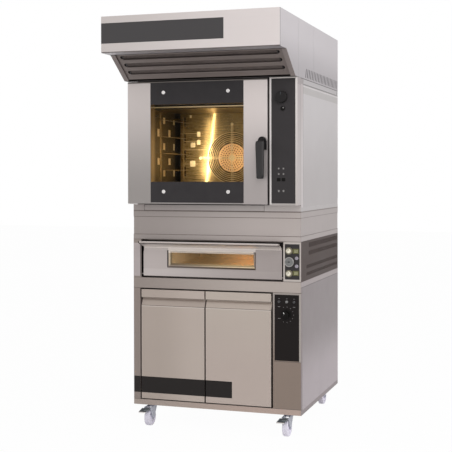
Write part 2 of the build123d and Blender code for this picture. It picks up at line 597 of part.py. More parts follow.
window_z = (deck_door_z[0] + WINDOW_LIFT, deck_door_z[0] + WINDOW_LIFT + WINDOW_SIZE[1])
window_middle_z = (window_z[0] + window_z[1]) / 2
glass_hole = (WINDOW_SIZE[0] - 2 * BEZEL_WIDTH, WINDOW_SIZE[1] - 2 * BEZEL_WIDTH)
bezel_y = (deck_door_y[0] - BEZEL_PROUD, deck_door_y[0] - BEZEL_PROUD + BEZEL_WIDTH)
window_x = (deck_middle - WINDOW_SIZE[0] / 2, deck_middle + WINDOW_SIZE[0] / 2)
pane_x = (deck_middle - glass_hole[0] / 2, deck_middle + glass_hole[0] / 2)
pane_z = (window_middle_z - glass_hole[1] / 2, window_middle_z + glass_hole[1] / 2)

with BuildPart() as deck_door:
    slab(deck_door_x, deck_door_y, deck_door_z)
    slab((deck_door_x[0] + SHEET, deck_door_x[1] - SHEET), (deck_door_y[0] + SHEET, deck_door_y[1]),
         (deck_door_z[0] + SHEET, deck_door_z[1] - SHEET), mode=Mode.SUBTRACT)
    slab(window_x, bezel_y, window_z)
    with BuildSketch(front_plane(bezel_y[0])):
        with Locations((deck_middle, window_middle_z)):
            Rectangle(WINDOW_SIZE[0] - BEZEL_PROUD, WINDOW_SIZE[1] - BEZEL_PROUD)
    extrude(amount=-BEZEL_DEPTH, taper=45, mode=Mode.SUBTRACT)
    slab(pane_x, (bezel_y[0], bezel_y[1]), pane_z, mode=Mode.SUBTRACT)
    # reveal around the panes, from the bezel back to the inner pan
    slab((pane_x[0] - SHEET, pane_x[1] + SHEET), (bezel_y[1], deck_door_y[1]),
         (pane_z[0] - SHEET, pane_z[1] + SHEET))
    slab(pane_x, (bezel_y[1], deck_door_y[1]), pane_z, mode=Mode.SUBTRACT)
    for end_x in ((deck_door_x[0] - DECK_DOOR_GAP - SHEET, deck_door_x[0] + SHEET),
                  (deck_door_x[1] - SHEET, deck_door_x[1] + DECK_DOOR_GAP + SHEET)):
        rod_x(end_x, deck_pivot_y, deck_pivot_z, DECK_PIN_RADIUS)
    # inner pan, in four strips around the window
    pan = SHEET + SEAM
    face_frame((deck_door_x[0] + pan, deck_door_x[1] - pan), (deck_door_z[0] + pan, deck_door_z[1] - pan),
               (pane_x[0] - pan, pane_x[1] + pan), (pane_z[0] - pan, pane_z[1] + pan),
               (deck_door_y[1] - SHEET, deck_door_y[1]))
finish(deck_door, "deck_door")

with BuildPart() as deck_door_glass:
    for pane_y in (bezel_y[1], deck_door_y[1] - 2 * DECK_GLASS_THICK):
        slab((pane_x[0] + TOUCH, pane_x[1] - TOUCH), (pane_y, pane_y + DECK_GLASS_THICK),
             (pane_z[0] + TOUCH, pane_z[1] - TOUCH))
finish(deck_door_glass, "deck_door_glass")

lip_y = Y_FRONT - HANDLE_PROUD
lip_z = (Z_SPACER - HANDLE_TOP_GAP - HANDLE_LIP, Z_SPACER - HANDLE_TOP_GAP)
root_z = (deck_door_z[1] - HANDLE_ROOT, deck_door_z[1] - HANDLE_ROOT / 3)
with BuildPart() as deck_door_handle:
    with BuildSketch(Plane.YZ.offset(deck_door_x[0])):
        with BuildLine():
            Polyline(
                (deck_door_y[0], root_z[0]),
                (deck_door_y[0] - HANDLE_SHEET, root_z[0]),
                (deck_door_y[0] - HANDLE_SHEET, root_z[0] + HANDLE_SHEET),
                (lip_y, lip_z[0]),
                (lip_y, lip_z[1]),
                (lip_y + HANDLE_HEM, lip_z[1]),
                (lip_y + HANDLE_HEM, lip_z[1] - HANDLE_SHEET),
                (lip_y + HANDLE_SHEET, lip_z[1] - HANDLE_SHEET),
                (lip_y + HANDLE_SHEET, lip_z[0] + HANDLE_SHEET),
                (deck_door_y[0] - HANDLE_SHEET, root_z[0] + 2 * HANDLE_SHEET + HANDLE_SHEET / 2),
                (deck_door_y[0] - HANDLE_SHEET, root_z[1]),
                (deck_door_y[0], root_z[1]),
                close=True,
            )
        make_face()
    extrude(amount=deck_door_x[1] - deck_door_x[0])
    for end_x in (deck_door_x[0], deck_door_x[1] - HANDLE_SHEET):
        with BuildSketch(Plane.YZ.offset(end_x)):
            with BuildLine():
                Polyline(
                    (deck_door_y[0], root_z[0]),
                    (lip_y, lip_z[0]),
                    (lip_y, lip_z[1]),
                    (lip_y + HANDLE_HEM, lip_z[1]),
                    (deck_door_y[0], root_z[1]),
                    close=True,
                )
            make_face()
        extrude(amount=HANDLE_SHEET)
finish(deck_door_handle, "deck_door_handle")

deck_plate_z = (Z_DECK + DECK_PLATE_MARGIN[0], Z_SPACER - DECK_PLATE_MARGIN[1])
with BuildPart() as deck_control_plate:
    slab(DECK_PLATE_X, (Y_FRONT - CONTROL_PLATE, Y_FRONT), deck_plate_z)
    for knob_z in DECK_KNOBS_Z:
        rod_y(DECK_KNOB_X, (Y_FRONT - CONTROL_PLATE, Y_FRONT), Z_DECK + knob_z, KNOB_SHAFT + RUNNING,
              mode=Mode.SUBTRACT)
finish(deck_control_plate, "deck_control_plate")

for name, knob_z in zip(("upper", "lower"), DECK_KNOBS_Z):
    deck_knob = control_knob(DECK_KNOB_X, Z_DECK + knob_z, Y_FRONT - CONTROL_PLATE, DECK_KNOB_SIZE, DECK_KNOB_BAR)
    finish(deck_knob, f"deck_{name}_knob")

dial_z = Z_DECK + DECK_DIAL[1]
dial_y = Y_FRONT - CONTROL_PLATE
with BuildPart() as deck_thermometer:
    rod_y(DECK_DIAL[0], (dial_y - DIAL_DEPTH, dial_y), dial_z, DIAL_RADIUS)
    fillet(deck_thermometer.faces().sort_by(Axis.Y)[0].edges(), DIAL_RIM / 3)
    rod_y(DECK_DIAL[0], (dial_y - DIAL_DEPTH, dial_y - DIAL_RIM), dial_z, DIAL_RADIUS - DIAL_RIM,
          mode=Mode.SUBTRACT)
    rod_y(DECK_DIAL[0], (dial_y - DIAL_RIM, dial_y - TOUCH), dial_z, NEEDLE_PIN + RUNNING,
          mode=Mode.SUBTRACT)
finish(deck_thermometer, "deck_thermometer")

NEEDLE_SHEET = 1.0
with BuildPart() as thermometer_needle:
    needle_y = dial_y - DIAL_RIM - TOUCH
    with BuildSketch(front_plane(needle_y)):
        with Locations((DECK_DIAL[0], dial_z)):
            Circle(NEEDLE_PIN * 2)
            with Locations((-(DIAL_RADIUS - DIAL_RIM) / 2 + NEEDLE_PIN, 0)):
                Rectangle(DIAL_RADIUS - DIAL_RIM - 2 * NEEDLE_PIN, NEEDLE_PIN)
    extrude(amount=NEEDLE_SHEET)
    rod_y(DECK_DIAL[0], (needle_y, dial_y - TOUCH - SEAM), dial_z, NEEDLE_PIN)
finish(thermometer_needle, "thermometer_needle")

# ================================================================ spacer
SPACER_STRIPS = (28.0, 34.0)       # lower and upper strips that stand proud of the middle
SPACER_STEP = 1.5
with BuildPart() as spacer_case:
    levels = (
        (Z_SPACER + SHEET + SEAM, Z_SPACER + SPACER_STRIPS[0], 0.0),
        (Z_SPACER + SPACER_STRIPS[0] + SEAM, Z_BASE - SPACER_STRIPS[1] - SEAM, SPACER_STEP),
        (Z_BASE - SPACER_STRIPS[1], Z_BASE - SHEET - SEAM, 0.0),
    )
    for low, high, step in levels:
        sheet_box((-HALF + step, HALF - step), (Y_FRONT + step, Y_REAR), (low, high), 2 * SHEET, "left right front")
    slab((-HALF, HALF), (Y_FRONT, Y_REAR), (Z_SPACER, Z_SPACER + SHEET))
    slab((-HALF, HALF), (Y_FRONT, Y_REAR), (Z_BASE - SHEET, Z_BASE))
    slab((-HALF + 2 * SHEET + SPACER_STEP + SEAM, HALF - 2 * SHEET - SPACER_STEP - SEAM),
         (Y_BACK - SHEET, Y_BACK), (Z_SPACER + SHEET + SEAM, Z_BASE - SHEET - SEAM))
finish(spacer_case, "spacer_case")

# ================================================================ convection oven
BASE_SIDE = 25.0             # side height of the base
TRAY_JOINT_X = (-436.0, 293.0)     # ends of the drip tray's front
TRAY_GAP = 2.0
TRAY_DEPTH = 350.0
TRAY_WALL = 24.0
TRAY_INSET = 30.0            # pan inside the ends of the tray's front
COLUMN_WIDTH = 160.0
COLUMN_GAP = 11.0            # between the door and the control column
OVEN_DOOR_GAP = 4.0          # above and below the door
DOOR_TO_BODY = 5.5
LEFT_STILE = 141.0
RIGHT_STILE = 138.0
WINDOW_Z = (129.0, 568.0)    # clear window above the oven's bottom
GLASS_MARGIN = (11.0, 10.0)  # glass to the oven's bottom and top
GLASS_THICK = 6.0
GLASS_SET_BACK = 2.0
INNER_GLASS = 5.0
INNER_GLASS_BACK = 12.0      # inner pane in front of the door's back
BUTTON_RADIUS = 11.0
BUTTON_DEPTH = 5.0
BUTTONS_X = (-283.0, 105.0)
BUTTONS_Z = (73.0, 636.0)    # above the oven's bottom
HINGE_INSET = 20.0           # hinge axis from the door's left edge and front face
HINGE_PIN_RADIUS = 6.0
HINGE_PIN_LENGTH = 12.0
HINGE_PLATE = (60.0, 3.4)
CAVITY_X = (-420.0, 330.0)
CAVITY_DEPTH = 560.0
CAVITY_Z = (37.0, 547.0)     # above the oven's bottom
GASKET_WIDTH = 12.0
BAFFLE_FROM_FRONT = 430.0
BAFFLE_SIDE_GAP = 35.0
FAN_CENTRE = (-45.0, 272.0)  # x, and height above the oven's bottom
GUARD_RADIUS = 155.0
GUARD_DISC = 88.0
GUARD_RINGS = 6
GUARD_WIRE = 2.0
GUARD_ARM = 206.0
GUARD_ROD_GAP = 10.0         # between the axes of an arm's two rods
GUARD_ROD_PROUD = 3.0        # rods' axes in front of the baffle
GUARD_BOSS = 9.0
GUARD_HUB = 18.0
GUARD_HOLE = 4.0
GUARD_HOLE_ROWS = 4
GUARD_HOLE_PITCH = 14.0
IMPELLER_RADIUS = 128.0
IMPELLER_DEPTH = 55.0
IMPELLER_BLADES = 12
IMPELLER_BLADE = 46.0        # length of a blade from the rim inwards
SHAFT_RADIUS = 8.0
HEATER_WIRE = 5.0
HEATER_RADIUS = 165.0
HEATER_TURNS = 3
HEATER_PITCH = 17.0
MOTOR_RADIUS = 70.0
MOTOR_FLANGE = 84.0
MOTOR_LENGTH = 160.0
OVEN_LEVELS = 5
OVEN_POST_WIDTH = 45.0       # front corner post on the side
VENT_STRIP = 30.0            # side strip under the hood
STRIP_NOTCH = (23.0, 4.0)    # notches in that strip, below the hood
LOWER_STRIP = 36.0
OVEN_PLATE_MARGIN = (12.0, 11.0, 7.0)    # sides, bottom and top of the black plate
OVEN_KNOB = (416.5, 593.0)
OVEN_KNOB_SIZE = (33.0, 3.0, 31.0, 24.0)    # skirt radius and height, cap radius and overall height
POWER_BUTTON = (423.0, 530.0)
POWER_BUTTON_RADIUS = 12.0
BUTTON_TRAVEL = 3.0

with BuildPart() as oven_base:
    base_inside = (-HALF + SHEET + SEAM, HALF - SHEET - SEAM)
    slab(base_inside, (Y_FRONT + SHEET + SEAM, Y_BACK), (Z_BASE, Z_BASE + SHEET))
    slab((-HALF, TRAY_JOINT_X[0]), (Y_FRONT, Y_FRONT + SHEET), (Z_BASE, Z_OVEN))
    slab((TRAY_JOINT_X[1], HALF), (Y_FRONT, Y_FRONT + SHEET), (Z_BASE, Z_OVEN))
    for side in (-1, 1):
        strip = sorted((side * HALF, side * (HALF - SHEET)))
        slab(strip, (Y_FRONT + SHEET + SEAM, Y_REAR), (Z_BASE, Z_BASE + BASE_SIDE))
    # guides of the drip tray and a cross wall behind it
    wall_z = (Z_BASE + SHEET + SEAM, Z_OVEN - SEAM)
    pan_edges = (TRAY_JOINT_X[0] + TRAY_INSET - TOUCH, TRAY_JOINT_X[1] - TRAY_INSET + TOUCH)
    slab((pan_edges[0] - SHEET, pan_edges[0]), (Y_FRONT + 3 * SHEET, Y_FRONT + TRAY_DEPTH + 2 * SHEET), wall_z)
    slab((pan_edges[1], pan_edges[1] + SHEET), (Y_FRONT + 3 * SHEET, Y_FRONT + TRAY_DEPTH + 2 * SHEET), wall_z)
    slab((pan_edges[0] - SHEET, pan_edges[1] + SHEET),
         (Y_FRONT + TRAY_DEPTH + 3 * SHEET, Y_FRONT + TRAY_DEPTH + 4 * SHEET), wall_z)
finish(oven_base, "oven_base")

drip_pan_x = (TRAY_JOINT_X[0] + TRAY_INSET, TRAY_JOINT_X[1] - TRAY_INSET)
drip_pan_z = Z_BASE + SHEET + TOUCH
with BuildPart() as drip_tray:
    slab((TRAY_JOINT_X[0] + TRAY_GAP, TRAY_JOINT_X[1] - TRAY_GAP), (Y_FRONT, Y_FRONT + SHEET),
         (Z_BASE + TRAY_GAP, Z_OVEN - TRAY_GAP))
    sheet_box(drip_pan_x, (Y_FRONT + SHEET + SEAM, Y_FRONT + TRAY_DEPTH),
              (drip_pan_z, drip_pan_z + TRAY_WALL), SHEET, "bottom left right front back")
finish(drip_tray, "drip_tray")

mouth_x = CAVITY_X
mouth_z = (Z_OVEN + CAVITY_Z[0], Z_OVEN + CAVITY_Z[1])
cavity_y = (Y_FRONT + SHEET + SEAM, Y_FRONT + CAVITY_DEPTH)
fan_x = FAN_CENTRE[0]
fan_z = Z_OVEN + FAN_CENTRE[1]
side_z = Z_BASE + BASE_SIDE + SEAM

with BuildPart() as oven_casing:
    face_frame((-HALF, HALF), (Z_OVEN + SEAM, Z_HOOD), mouth_x, mouth_z, (Y_FRONT, Y_FRONT + SHEET))
    for side in (-1, 1):
        post = sorted((side * HALF, side * (HALF - SHEET)))
        step = sorted((side * (HALF - SHEET / 2), side * (HALF - 2 * SHEET)))
        post_end = Y_FRONT + OVEN_POST_WIDTH
        slab(post, (Y_FRONT + SHEET + SEAM, post_end), (side_z, Z_HOOD))
        slab(step, (post_end + SHEET, Y_REAR), (side_z, side_z + LOWER_STRIP))
        slab(post, (post_end + SHEET, Y_REAR), (side_z + LOWER_STRIP + SEAM, Z_HOOD - VENT_STRIP - SHEET))
        slab(step, (post_end + SHEET, Y_REAR), (Z_HOOD - VENT_STRIP, Z_HOOD))
        for notch_y in (post_end + 2 * SHEET, Y_REAR - 4 * SHEET):
            slab(step, (notch_y, notch_y + 2 * SHEET), (Z_HOOD - STRIP_NOTCH[0], Z_HOOD - STRIP_NOTCH[1]),
                 mode=Mode.SUBTRACT)
    inside = (-HALF + 2 * SHEET + SEAM, HALF - 2 * SHEET - SEAM)
    slab(inside, (Y_FRONT + SHEET + SEAM, Y_BACK), (Z_HOOD - SHEET, Z_HOOD))
    slab(inside, (Y_BACK - SHEET, Y_BACK), (side_z, Z_HOOD - SHEET - SEAM))
    cable_gland(HALF - COLUMN_WIDTH / 2, Z_OVEN + CAVITY_Z[0])
finish(oven_casing, "oven_casing")

with BuildPart() as oven_cavity:
    sheet_box((mouth_x[0] - SHEET, mouth_x[1] + SHEET), cavity_y, (mouth_z[0] - SHEET, mouth_z[1] + SHEET),
              SHEET, "bottom top left right back")
    rod_y(fan_x, (cavity_y[1] - SHEET, cavity_y[1]), fan_z, SHAFT_RADIUS + RUNNING, mode=Mode.SUBTRACT)
finish(oven_cavity, "oven_cavity")

baffle_y = Y_FRONT + BAFFLE_FROM_FRONT
baffle_x = (mouth_x[0] + BAFFLE_SIDE_GAP, mouth_x[1] - BAFFLE_SIDE_GAP)
AIR_SLOT = (14.0, 60.0)
AIR_SLOTS = 5
with BuildPart() as fan_baffle:
    slab(baffle_x, (baffle_y, baffle_y + SHEET), (mouth_z[0] + SEAM, mouth_z[1] - SEAM))
    rod_y(fan_x, (baffle_y, baffle_y + SHEET), fan_z, GUARD_RADIUS, mode=Mode.SUBTRACT)
    slot_pitch = (mouth_z[1] - mouth_z[0]) / AIR_SLOTS
    for edge in baffle_x:
        slot_x = edge + (AIR_SLOT[0] * 2 if edge == baffle_x[0] else -AIR_SLOT[0] * 2)
        with BuildSketch(front_plane(baffle_y)):
            with Locations((slot_x, (mouth_z[0] + mouth_z[1]) / 2)):
                with GridLocations(0, slot_pitch, 1, AIR_SLOTS):
                    Rectangle(AIR_SLOT[0], AIR_SLOT[1])
        extrude(amount=-SHEET, mode=Mode.SUBTRACT)
    # wire guard in front of the fan inlet
    ring_pitch = (GUARD_RADIUS - GUARD_DISC) / GUARD_RINGS
    with BuildSketch(front_plane(baffle_y - TOUCH)):
        with Locations((fan_x, fan_z)):
            for ring in range(GUARD_RINGS, 0, -1):
                radius = GUARD_DISC + ring * ring_pitch
                Circle(radius)
                Circle(radius - GUARD_WIRE, mode=Mode.SUBTRACT)
            Circle(GUARD_DISC)
            for row in range(1, GUARD_HOLE_ROWS + 1):
                row_radius = GUARD_HUB + row * GUARD_HOLE_PITCH
                with PolarLocations(row_radius, int(2 * pi * row_radius / GUARD_HOLE_PITCH)):
                    Circle(GUARD_HOLE, mode=Mode.SUBTRACT)
    extrude(amount=GUARD_WIRE)
    arm_y = baffle_y - TOUCH - GUARD_ROD_PROUD
    for offset_from_axis in (-GUARD_ROD_GAP / 2, GUARD_ROD_GAP / 2):
        rod_x((fan_x - GUARD_ARM, fan_x + GUARD_ARM), arm_y, fan_z + offset_from_axis, GUARD_WIRE)
        rod_z(fan_x + offset_from_axis, arm_y, (fan_z - GUARD_ARM, fan_z + GUARD_ARM), GUARD_WIRE)
    for boss_x, boss_z in ((-GUARD_ARM, 0), (GUARD_ARM, 0), (0, -GUARD_ARM), (0, GUARD_ARM)):
        rod_y(fan_x + boss_x, (arm_y - GUARD_WIRE, baffle_y), fan_z + boss_z, GUARD_BOSS)
    rod_y(fan_x, (arm_y - 3 * GUARD_WIRE, baffle_y), fan_z, GUARD_HUB)
finish(fan_baffle, "fan_baffle")

impeller_y = baffle_y + SHEET + 2 * GUARD_WIRE
with BuildPart() as oven_fan:
    rod_y(fan_x, (impeller_y + IMPELLER_DEPTH, impeller_y + IMPELLER_DEPTH + 2 * SHEET), fan_z, IMPELLER_RADIUS)
    with BuildSketch(front_plane(impeller_y)):
        with Locations((fan_x, fan_z)):
            with PolarLocations(IMPELLER_RADIUS - 2 * SHEET - IMPELLER_BLADE / 2, IMPELLER_BLADES):
                Rectangle(IMPELLER_BLADE, 2 * SHEET)
    extrude(amount=-IMPELLER_DEPTH)
    rod_y(fan_x, (impeller_y, cavity_y[1] + MOTOR_LENGTH / 2), fan_z, SHAFT_RADIUS)
    rod_y(fan_x, (impeller_y + IMPELLER_DEPTH / 2, impeller_y + IMPELLER_DEPTH), fan_z, 3 * SHAFT_RADIUS)
finish(oven_fan, "oven_fan")

with BuildPart() as fan_motor:
    motor_y = cavity_y[1]
    rod_y(fan_x, (motor_y, motor_y + 2 * PLATE), fan_z, MOTOR_FLANGE)
    rod_y(fan_x, (motor_y, motor_y + MOTOR_RADIUS / 2), fan_z, MOTOR_RADIUS / 2)
    rod_y(fan_x, (motor_y + MOTOR_RADIUS / 2, motor_y + MOTOR_RADIUS / 2 + MOTOR_LENGTH), fan_z, MOTOR_RADIUS)
    rod_y(fan_x, (motor_y, motor_y + MOTOR_LENGTH), fan_z, SHAFT_RADIUS + RUNNING, mode=Mode.SUBTRACT)
finish(fan_motor, "fan_motor")

OVEN_RACK_Y = (25.0, 400.0)
OVEN_RACK_Z = (20.0, 490.0)
with BuildPart() as oven_racks:
    tray_rack((mouth_x[0] + mouth_x[1]) / 2, mouth_x,
              (cavity_y[0] + OVEN_RACK_Y[0], cavity_y[0] + OVEN_RACK_Y[1]),
              (mouth_z[0] + OVEN_RACK_Z[0], mouth_z[0] + OVEN_RACK_Z[1]), OVEN_LEVELS, 2 * OVEN_RACK_Z[0])
finish(oven_racks, "oven_racks")

ROD_RADIUS = 4.0
DECK_HEATER_PASSES = 6
DECK_HEATER_INSET = 60.0
with BuildPart() as heating_elements:
    # three rings around the convection fan, each with two terminals through the back wall
    for turn in range(HEATER_TURNS):
        ring_y = impeller_y + HEATER_WIRE + turn * HEATER_PITCH
        with Locations(Location((fan_x, ring_y, fan_z), (90, 0, 0))):
            Torus(HEATER_RADIUS, HEATER_WIRE)
        for end in (-1, 1):
            rod_y(fan_x + end * HEATER_WIRE * (2 + 3 * turn), (ring_y, cavity_y[1] - SHEET),
                  fan_z - HEATER_RADIUS, ROD_RADIUS)
    # serpentine under the roof and under the floor of the baking chamber
    for heater_z in (baking_z[1] - ROD_RADIUS - TOUCH, baking_z[0] - SHEET - ROD_RADIUS - TOUCH):
        span = baking_x[1] - baking_x[0] - 2 * DECK_HEATER_INSET
        pitch = span / (DECK_HEATER_PASSES - 1)
        near, far = baking_y[0] + DECK_HEATER_INSET, baking_y[1] - DECK_HEATER_INSET
        points = [(baking_x[0] + DECK_HEATER_INSET, baking_y[1] - SHEET, heater_z)]
        for index in range(DECK_HEATER_PASSES):
            x_here = baking_x[0] + DECK_HEATER_INSET + index * pitch
            ends = (far, near) if index % 2 == 0 else (near, far)
            if index == 0:
                points.append((x_here, near, heater_z))
            elif index == DECK_HEATER_PASSES - 1:
                points.append((x_here, near, heater_z))
                points.append((x_here, baking_y[1] - SHEET, heater_z))
            else:
                points.append((x_here, ends[0], heater_z))
                points.append((x_here, ends[1], heater_z))
        with BuildLine() as serpentine:
            FilletPolyline(*points, radius=pitch / 2 - ROD_RADIUS)
        with BuildSketch(Plane(origin=points[0], z_dir=(0, -1, 0))):
            Circle(ROD_RADIUS)
        sweep(path=serpentine.line)
    # hairpin under the water pan of the proving cabinet
    pan_heater_z = chamber_z[0] + SHEET + PAN_LIFT / 2
    pan_heater_y = (pan_y[0] + pan_y[1]) / 2
    for leg_y in (pan_heater_y - 20, pan_heater_y + 20):
        rod_x((pan_x[0] + 20, proving_wall_x[1]), leg_y, pan_heater_z, ROD_RADIUS)
    rod_y(pan_x[0] + 20, (pan_heater_y - 20, pan_heater_y + 20), pan_heater_z, ROD_RADIUS)
finish(heating_elements, "heating_elements")

# ---------------------------------------------------------------- door, glass and handle
oven_door_x = (-HALF, HALF - COLUMN_WIDTH - COLUMN_GAP)
oven_door_y = (Y_OVEN, Y_FRONT - DOOR_TO_BODY)
oven_door_z = (Z_OVEN + OVEN_DOOR_GAP, Z_HOOD - OVEN_DOOR_GAP)
glass_x = (oven_door_x[0] + LEFT_STILE, oven_door_x[1] - RIGHT_STILE)
glass_z = (Z_OVEN + GLASS_MARGIN[0], Z_HOOD - GLASS_MARGIN[1])
clear_z = (Z_OVEN + WINDOW_Z[0], Z_OVEN + WINDOW_Z[1])
glass_y = (Y_OVEN + GLASS_SET_BACK, Y_OVEN + GLASS_SET_BACK + GLASS_THICK)
hinge_x = oven_door_x[0] + HINGE_INSET
hinge_y = Y_OVEN + HINGE_INSET
HANDLE_X = 305.0
HANDLE_Z = (150.0, 347.0)    # grip, above the oven's bottom
HANDLE_PIVOT_Z = 355.0
SPINDLE_RADIUS = 6.0
skin_back = oven_door_y[1] - SHEET - SEAM

with BuildPart() as oven_door:
    slab(oven_door_x, (oven_door_y[0], skin_back), oven_door_z)
    slab((glass_x[0], glass_x[1]), (Y_OVEN, skin_back), clear_z, mode=Mode.SUBTRACT)
    slab((glass_x[0], glass_x[1]), (Y_OVEN, glass_y[1]), glass_z, mode=Mode.SUBTRACT)
    pockets = (
        ((oven_door_x[0] + SHEET, glass_x[0] - SHEET), Y_OVEN, oven_door_z),
        ((glass_x[1] + SHEET, oven_door_x[1] - SHEET), Y_OVEN, oven_door_z),
        ((glass_x[0] + SHEET, glass_x[1] - SHEET), glass_y[1], (clear_z[1], oven_door_z[1])),
        ((glass_x[0] + SHEET, glass_x[1] - SHEET), glass_y[1], (oven_door_z[0], clear_z[0])),
    )
    for pocket_x, pocket_y, pocket_z in pockets:
        slab(pocket_x, (pocket_y + SHEET, skin_back), (pocket_z[0] + SHEET, pocket_z[1] - SHEET),
             mode=Mode.SUBTRACT)
    # solid hinge blocks with the pin holes
    for end in (-1, 1):
        edge = oven_door_z[0] if end < 0 else oven_door_z[1]
        block = sorted((edge, edge - end * 2 * HINGE_PIN_LENGTH))
        slab((oven_door_x[0], oven_door_x[0] + 2 * HINGE_INSET), (Y_OVEN, Y_OVEN + 2 * HINGE_INSET), block)
        hole = sorted((edge, edge - end * (HINGE_PIN_LENGTH + TOUCH)))
        rod_z(hinge_x, hinge_y, hole, HINGE_PIN_RADIUS + RUNNING, mode=Mode.SUBTRACT)
    rod_y(HANDLE_X, (Y_OVEN, Y_OVEN + SHEET), Z_OVEN + HANDLE_PIVOT_Z, SPINDLE_RADIUS + RUNNING, mode=Mode.SUBTRACT)
    # back frame of the door
    face_frame(oven_door_x, oven_door_z, (glass_x[0], glass_x[1]), clear_z,
               (oven_door_y[1] - SHEET, oven_door_y[1]))
finish(oven_door, "oven_door")

with BuildPart() as oven_door_glass:
    slab((glass_x[0] + TOUCH, glass_x[1] - TOUCH), glass_y, (glass_z[0] + TOUCH, glass_z[1] - TOUCH))
    inner_y = oven_door_y[1] - INNER_GLASS_BACK
    slab((glass_x[0] + TOUCH, glass_x[1] - TOUCH), (inner_y - INNER_GLASS, inner_y),
         (clear_z[0] + TOUCH, clear_z[1] - TOUCH))
finish(oven_door_glass, "oven_door_glass")

with BuildPart() as glass_buttons:
    for button_x in BUTTONS_X:
        for button_z in BUTTONS_Z:
            rod_y(button_x, (glass_y[0] - BUTTON_DEPTH, glass_y[0]), Z_OVEN + button_z, BUTTON_RADIUS)
    fillet(glass_buttons.faces().group_by(Axis.Y)[0].edges(), BUTTON_DEPTH / 3)
finish(glass_buttons, "glass_buttons")

GRIP_WIDTH = 40.0
GRIP_THICK = 20.0
GRIP_STANDOFF = 34.0         # clear space behind the grip
MOUNT_RADIUS = 23.0
MOUNT_THICK = 12.0
MOUNT_SHOULDER = (18.0, 21.0)    # web above and below the spindle
NOSE = (9.0, 50.0)
grip_y = (Y_OVEN - GRIP_STANDOFF - GRIP_THICK, Y_OVEN - GRIP_STANDOFF)
grip_z = (Z_OVEN + HANDLE_Z[0], Z_OVEN + HANDLE_Z[1])
handle_pivot_z = Z_OVEN + HANDLE_PIVOT_Z
with BuildPart() as oven_door_handle:
    slab((HANDLE_X - GRIP_WIDTH / 2, HANDLE_X + GRIP_WIDTH / 2), grip_y, grip_z)
    fillet(oven_door_handle.edges().filter_by(Axis.Z), GRIP_THICK / 3)
    fillet(oven_door_handle.faces().sort_by(Axis.Z)[0].edges(), GRIP_THICK / 5)
    with BuildSketch(Plane.YZ.offset(HANDLE_X - GRIP_WIDTH / 2 + GRIP_THICK / 5)):
        with BuildLine():
            Polyline(
                (Y_OVEN - TOUCH, handle_pivot_z + MOUNT_SHOULDER[0]),
                (Y_OVEN - MOUNT_THICK, handle_pivot_z + MOUNT_SHOULDER[0]),
                (grip_y[0] + GRIP_THICK / 5, grip_z[1] - GRIP_THICK / 5),
                (grip_y[0] + GRIP_THICK / 5, grip_z[1] - 2 * GRIP_THICK),
                (grip_y[1], grip_z[1] - 2 * GRIP_THICK),
                (Y_OVEN - MOUNT_THICK, handle_pivot_z - MOUNT_SHOULDER[1]),
                (Y_OVEN - TOUCH, handle_pivot_z - MOUNT_SHOULDER[1]),
                close=True,
            )
        make_face()
    extrude(amount=GRIP_WIDTH - 2 * GRIP_THICK / 5)
    rod_y(HANDLE_X, (Y_OVEN - MOUNT_THICK, Y_OVEN - TOUCH), handle_pivot_z, MOUNT_RADIUS)
    slab((HANDLE_X + MOUNT_RADIUS - NOSE[0], HANDLE_X + MOUNT_RADIUS + NOSE[0] / 3),
         (Y_OVEN - MOUNT_THICK, Y_OVEN - TOUCH), (handle_pivot_z - NOSE[1], handle_pivot_z))
    rod_y(HANDLE_X, (Y_OVEN - TOUCH, Y_OVEN + 4 * SPINDLE_RADIUS), handle_pivot_z, SPINDLE_RADIUS)
finish(oven_door_handle, "oven_door_handle")

with BuildPart() as door_gasket:
    gasket_y = (oven_door_y[1] + TOUCH, Y_FRONT)
    face_frame((mouth_x[0] - GASKET_WIDTH, mouth_x[1] + GASKET_WIDTH),
               (mouth_z[0] - GASKET_WIDTH, mouth_z[1] + GASKET_WIDTH), mouth_x, mouth_z, gasket_y)
finish(door_gasket, "door_gasket")

with BuildPart() as hinge_plates:
    plate_x = (-HALF, -HALF + HINGE_PLATE[0])
    for end in (-1, 1):
        edge = Z_OVEN if end < 0 else Z_HOOD
        plate_z = sorted((edge, edge - end * HINGE_PLATE[1]))
        slab(plate_x, (Y_OVEN + SHEET, Y_FRONT), plate_z)
        pin_z = sorted((edge, edge - end * (OVEN_DOOR_GAP + HINGE_PIN_LENGTH)))
        rod_z(hinge_x, hinge_y, pin_z, HINGE_PIN_RADIUS)
finish(hinge_plates, "hinge_plates")

# ---------------------------------------------------------------- control column
column_x = (HALF - COLUMN_WIDTH, HALF)
oven_plate_x = (column_x[0] + OVEN_PLATE_MARGIN[0], column_x[1] - OVEN_PLATE_MARGIN[0])
oven_plate_z = (Z_OVEN + OVEN_PLATE_MARGIN[1], Z_HOOD - OVEN_PLATE_MARGIN[2])
knob_z = Z_OVEN + OVEN_KNOB[1]
button_z = Z_OVEN + POWER_BUTTON[1]

with BuildPart() as oven_column:
    sheet_box(column_x, (Y_OVEN, Y_FRONT - SEAM), (Z_OVEN, Z_HOOD), SHEET, "left right top bottom front")
    rod_y(OVEN_KNOB[0], (Y_OVEN, Y_OVEN + SHEET), knob_z, KNOB_SHAFT + RUNNING, mode=Mode.SUBTRACT)
    rod_y(POWER_BUTTON[0], (Y_OVEN, Y_OVEN + SHEET), button_z, POWER_BUTTON_RADIUS + RUNNING, mode=Mode.SUBTRACT)
finish(oven_column, "oven_column")

